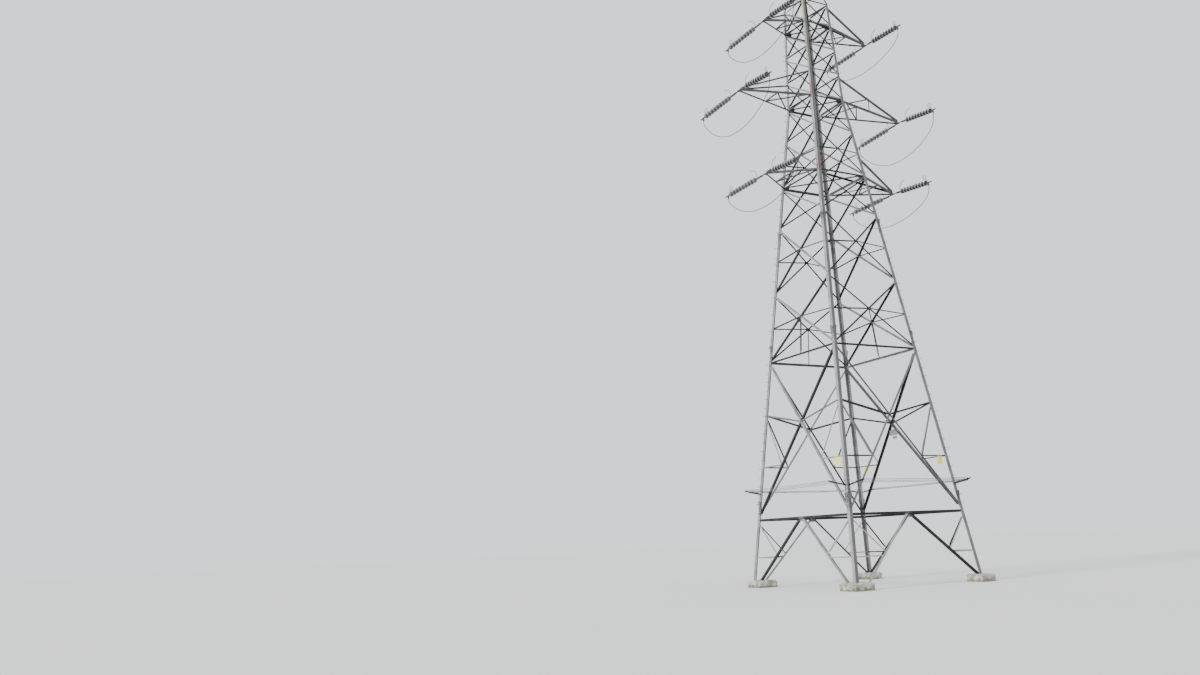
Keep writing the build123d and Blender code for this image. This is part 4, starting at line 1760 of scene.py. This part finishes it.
@dataclass
class ArmTones:
    """Sets the arms' front chords in painted light and their back chords in painted shade, with the braces
    between them half shaded.
    """

    body: TowerBody
    tip: float = 0.2
    chord: float = 0.16

    def tone(self, spot: Vector, reach: float) -> Tone:
        """The finish of the bar at a spot.

        Args:
            spot: the middle of a triangle.
            reach: how far the arm's tip is from the tower's axis, or 0 where every bar is a chord.

        Returns:
            the lit tone on a front chord, the deepest painted shade on a back one, and half shade on the
            braces between them.
        """
        # Painted light and shade: front chords lit, back chords in deep shade, braces between in half shade.
        if reach:
            half = self.body.half(spot.z)
            line = half + (self.tip - half) * (abs(spot.x) - half) / (reach - half)
            if abs(spot.y) < line - self.chord:
                return Tone.DULL
        return Tone.BRIGHT if spot.y < 0 else Tone.SOOTY

    def apply(self, node: bpy.types.Object) -> None:
        """Gives each triangle of an arm the finish of its bar.

        Args:
            node: the CAD node.
        """
        corners = node.data.vertices
        reach = 0.0 if node.name == "arm_upper_chords" else max(abs(corner.co.x) for corner in corners)
        for triangle in node.data.polygons:
            triangle.material_index = self.tone(triangle_middle(triangle, corners), reach).value


@dataclass
class CadFinishes:
    """The finishes of the CAD nodes."""

    body: TowerBody
    # The first four steels are one galvanised steel painted in four strengths of light and shade, from
    # deepest shade to full light, and the arm steel is a shaded copy for the arms' braces; the bracing and
    # arm nodes pick among them bar by bar.
    darkest: WeatheredSteel = WeatheredSteel(
        "deep_shade_steel", zinc=(0.03, 0.03, 0.032), dull=(0.014, 0.014, 0.015), rust_from=0.72,
        metallic=0.0, darkening=0.6, gloss=0.2)
    dull: WeatheredSteel = WeatheredSteel(
        "half_shade_steel", zinc=(0.12, 0.12, 0.122), dull=(0.06, 0.06, 0.062), metallic=0.1, darkening=0.6, gloss=0.35)
    bright: WeatheredSteel = WeatheredSteel(
        "lit_steel", zinc=(0.24, 0.24, 0.235), dull=(0.13, 0.13, 0.13), metallic=0.1)
    pale: WeatheredSteel = WeatheredSteel(
        "full_light_steel", zinc=(0.36, 0.36, 0.35), dull=(0.24, 0.24, 0.235), metallic=0.1, darkening=0.15)
    arm: WeatheredSteel = WeatheredSteel(
        "arm_steel", zinc=(0.075, 0.076, 0.08), dull=(0.04, 0.04, 0.043), metallic=0.1, darkening=0.6, gloss=0.3)
    leg: WeatheredSteel = WeatheredSteel(
        "leg_steel", zinc=(0.27, 0.27, 0.27), dull=(0.13, 0.13, 0.135), rust_from=0.6, metallic=0.15,
        darkening=0.55)
    front_leg: WashedLegSteel = WashedLegSteel(
        "front_leg_steel", zinc=(0.31, 0.305, 0.3), dull=(0.2, 0.198, 0.195), rust=(0.3, 0.15, 0.12),
        rust_from=0.61, metallic=0.1, darkening=0.85)
    concrete: CastConcrete = CastConcrete()
    cast: CastFitting = CastFitting()

    def choice(self, name: str) -> list[WeatheredSteel | CastConcrete | CastFitting]:
        """A node's finishes, which its tones count.

        Args:
            name: the name.

        Returns:
            The finishes.
        """
        if name == "foundation_caps":
            return [self.concrete]
        if name == "leg_front_left":
            return [self.front_leg]
        if name.startswith("leg_"):
            return [self.leg]
        if name in ("string_links", "line_clamps"):
            return [self.cast]
        # Arms and braced faces get copies of one steel in several strengths of painted light and shade.
        if "arm_" in name:
            return [self.darkest, self.arm, self.dull]
        return [self.darkest, self.dull, self.bright, self.pale]

    def apply(self, nodes: dict[str, bpy.types.Object]) -> None:
        """Gives every CAD node its finishes, and each bar of the braced faces and arms its own.

        Args:
            nodes: the CAD nodes by name.
        """
        made: dict[WeatheredSteel | CastConcrete | CastFitting, bpy.types.Material] = {}
        for name, node in nodes.items():
            node.data.materials.clear()
            for finish in self.choice(name):
                if finish not in made:
                    made[finish] = finish.material()
                node.data.materials.append(made[finish])
            ending = name.rsplit("_", 1)[-1].upper()
            if "_bracing_" in name and ending in Side.__members__:
                BracingTones(self.body).apply(node, Side[ending])
            elif "arm_" in name:
                ArmTones(self.body).apply(node)
        LOG.info("%d CAD nodes are dressed in %d finishes", len(nodes), len(made))


def main() -> None:
    """Loads the frame and builds everything in order."""
    logging.basicConfig(level=logging.INFO, format="%(name)s: %(message)s")
    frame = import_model()
    studio = Studio()
    studio.build_camera()
    body = TowerBody()
    fittings = LineFittings(body)
    fittings.build_jumpers(StrandedWire().material())
    CadFinishes(body).apply(frame["nodes"])
    cast = CastFitting("disc_caps_cast").material()
    # The near strings' sheds get a stronger painted highlight than the far strings': two copies of the glaze,
    # one lit and one in shade.
    near = GlazedDisc("near_glaze", glaze=(0.085, 0.094, 0.094), dust=(0.46, 0.48, 0.43), highlight_from=0.05)
    fittings.build_discs(near.material(), GlazedDisc("far_glaze").material(), cast)
    horn = CastFitting("horn_steel", bare=(0.1, 0.1, 0.105), worn=(0.05, 0.05, 0.052))
    fittings.build_horns(horn.material())
    fittings.build_clamp_bolts(cast)
    fittings.build_link_plates(cast)
    steel = WeatheredSteel("fastener_steel", zinc=(0.26, 0.265, 0.27), dull=(0.1, 0.1, 0.105)).material()
    Bolting(body).build(steel)
    StepBolts(body).build(steel)
    Gussets(body).build(WeatheredSteel("joint_plate_steel", zinc=(0.2, 0.205, 0.21)).material())
    guard = AntiClimbGuard(body)
    wire = WeatheredSteel("barbed_wire_zinc", zinc=(0.22, 0.225, 0.23), dull=(0.09, 0.09, 0.095),
                          rust_from=0.66, metallic=0.2, darkening=0.3).material()
    guard.build_strands(wire)
    guard.build_slack(wire)
    guard.build_coil(wire)
    Notices(body).build()
    studio.build_floor()
    studio.build_light()


if __name__ == "__main__":
    main()
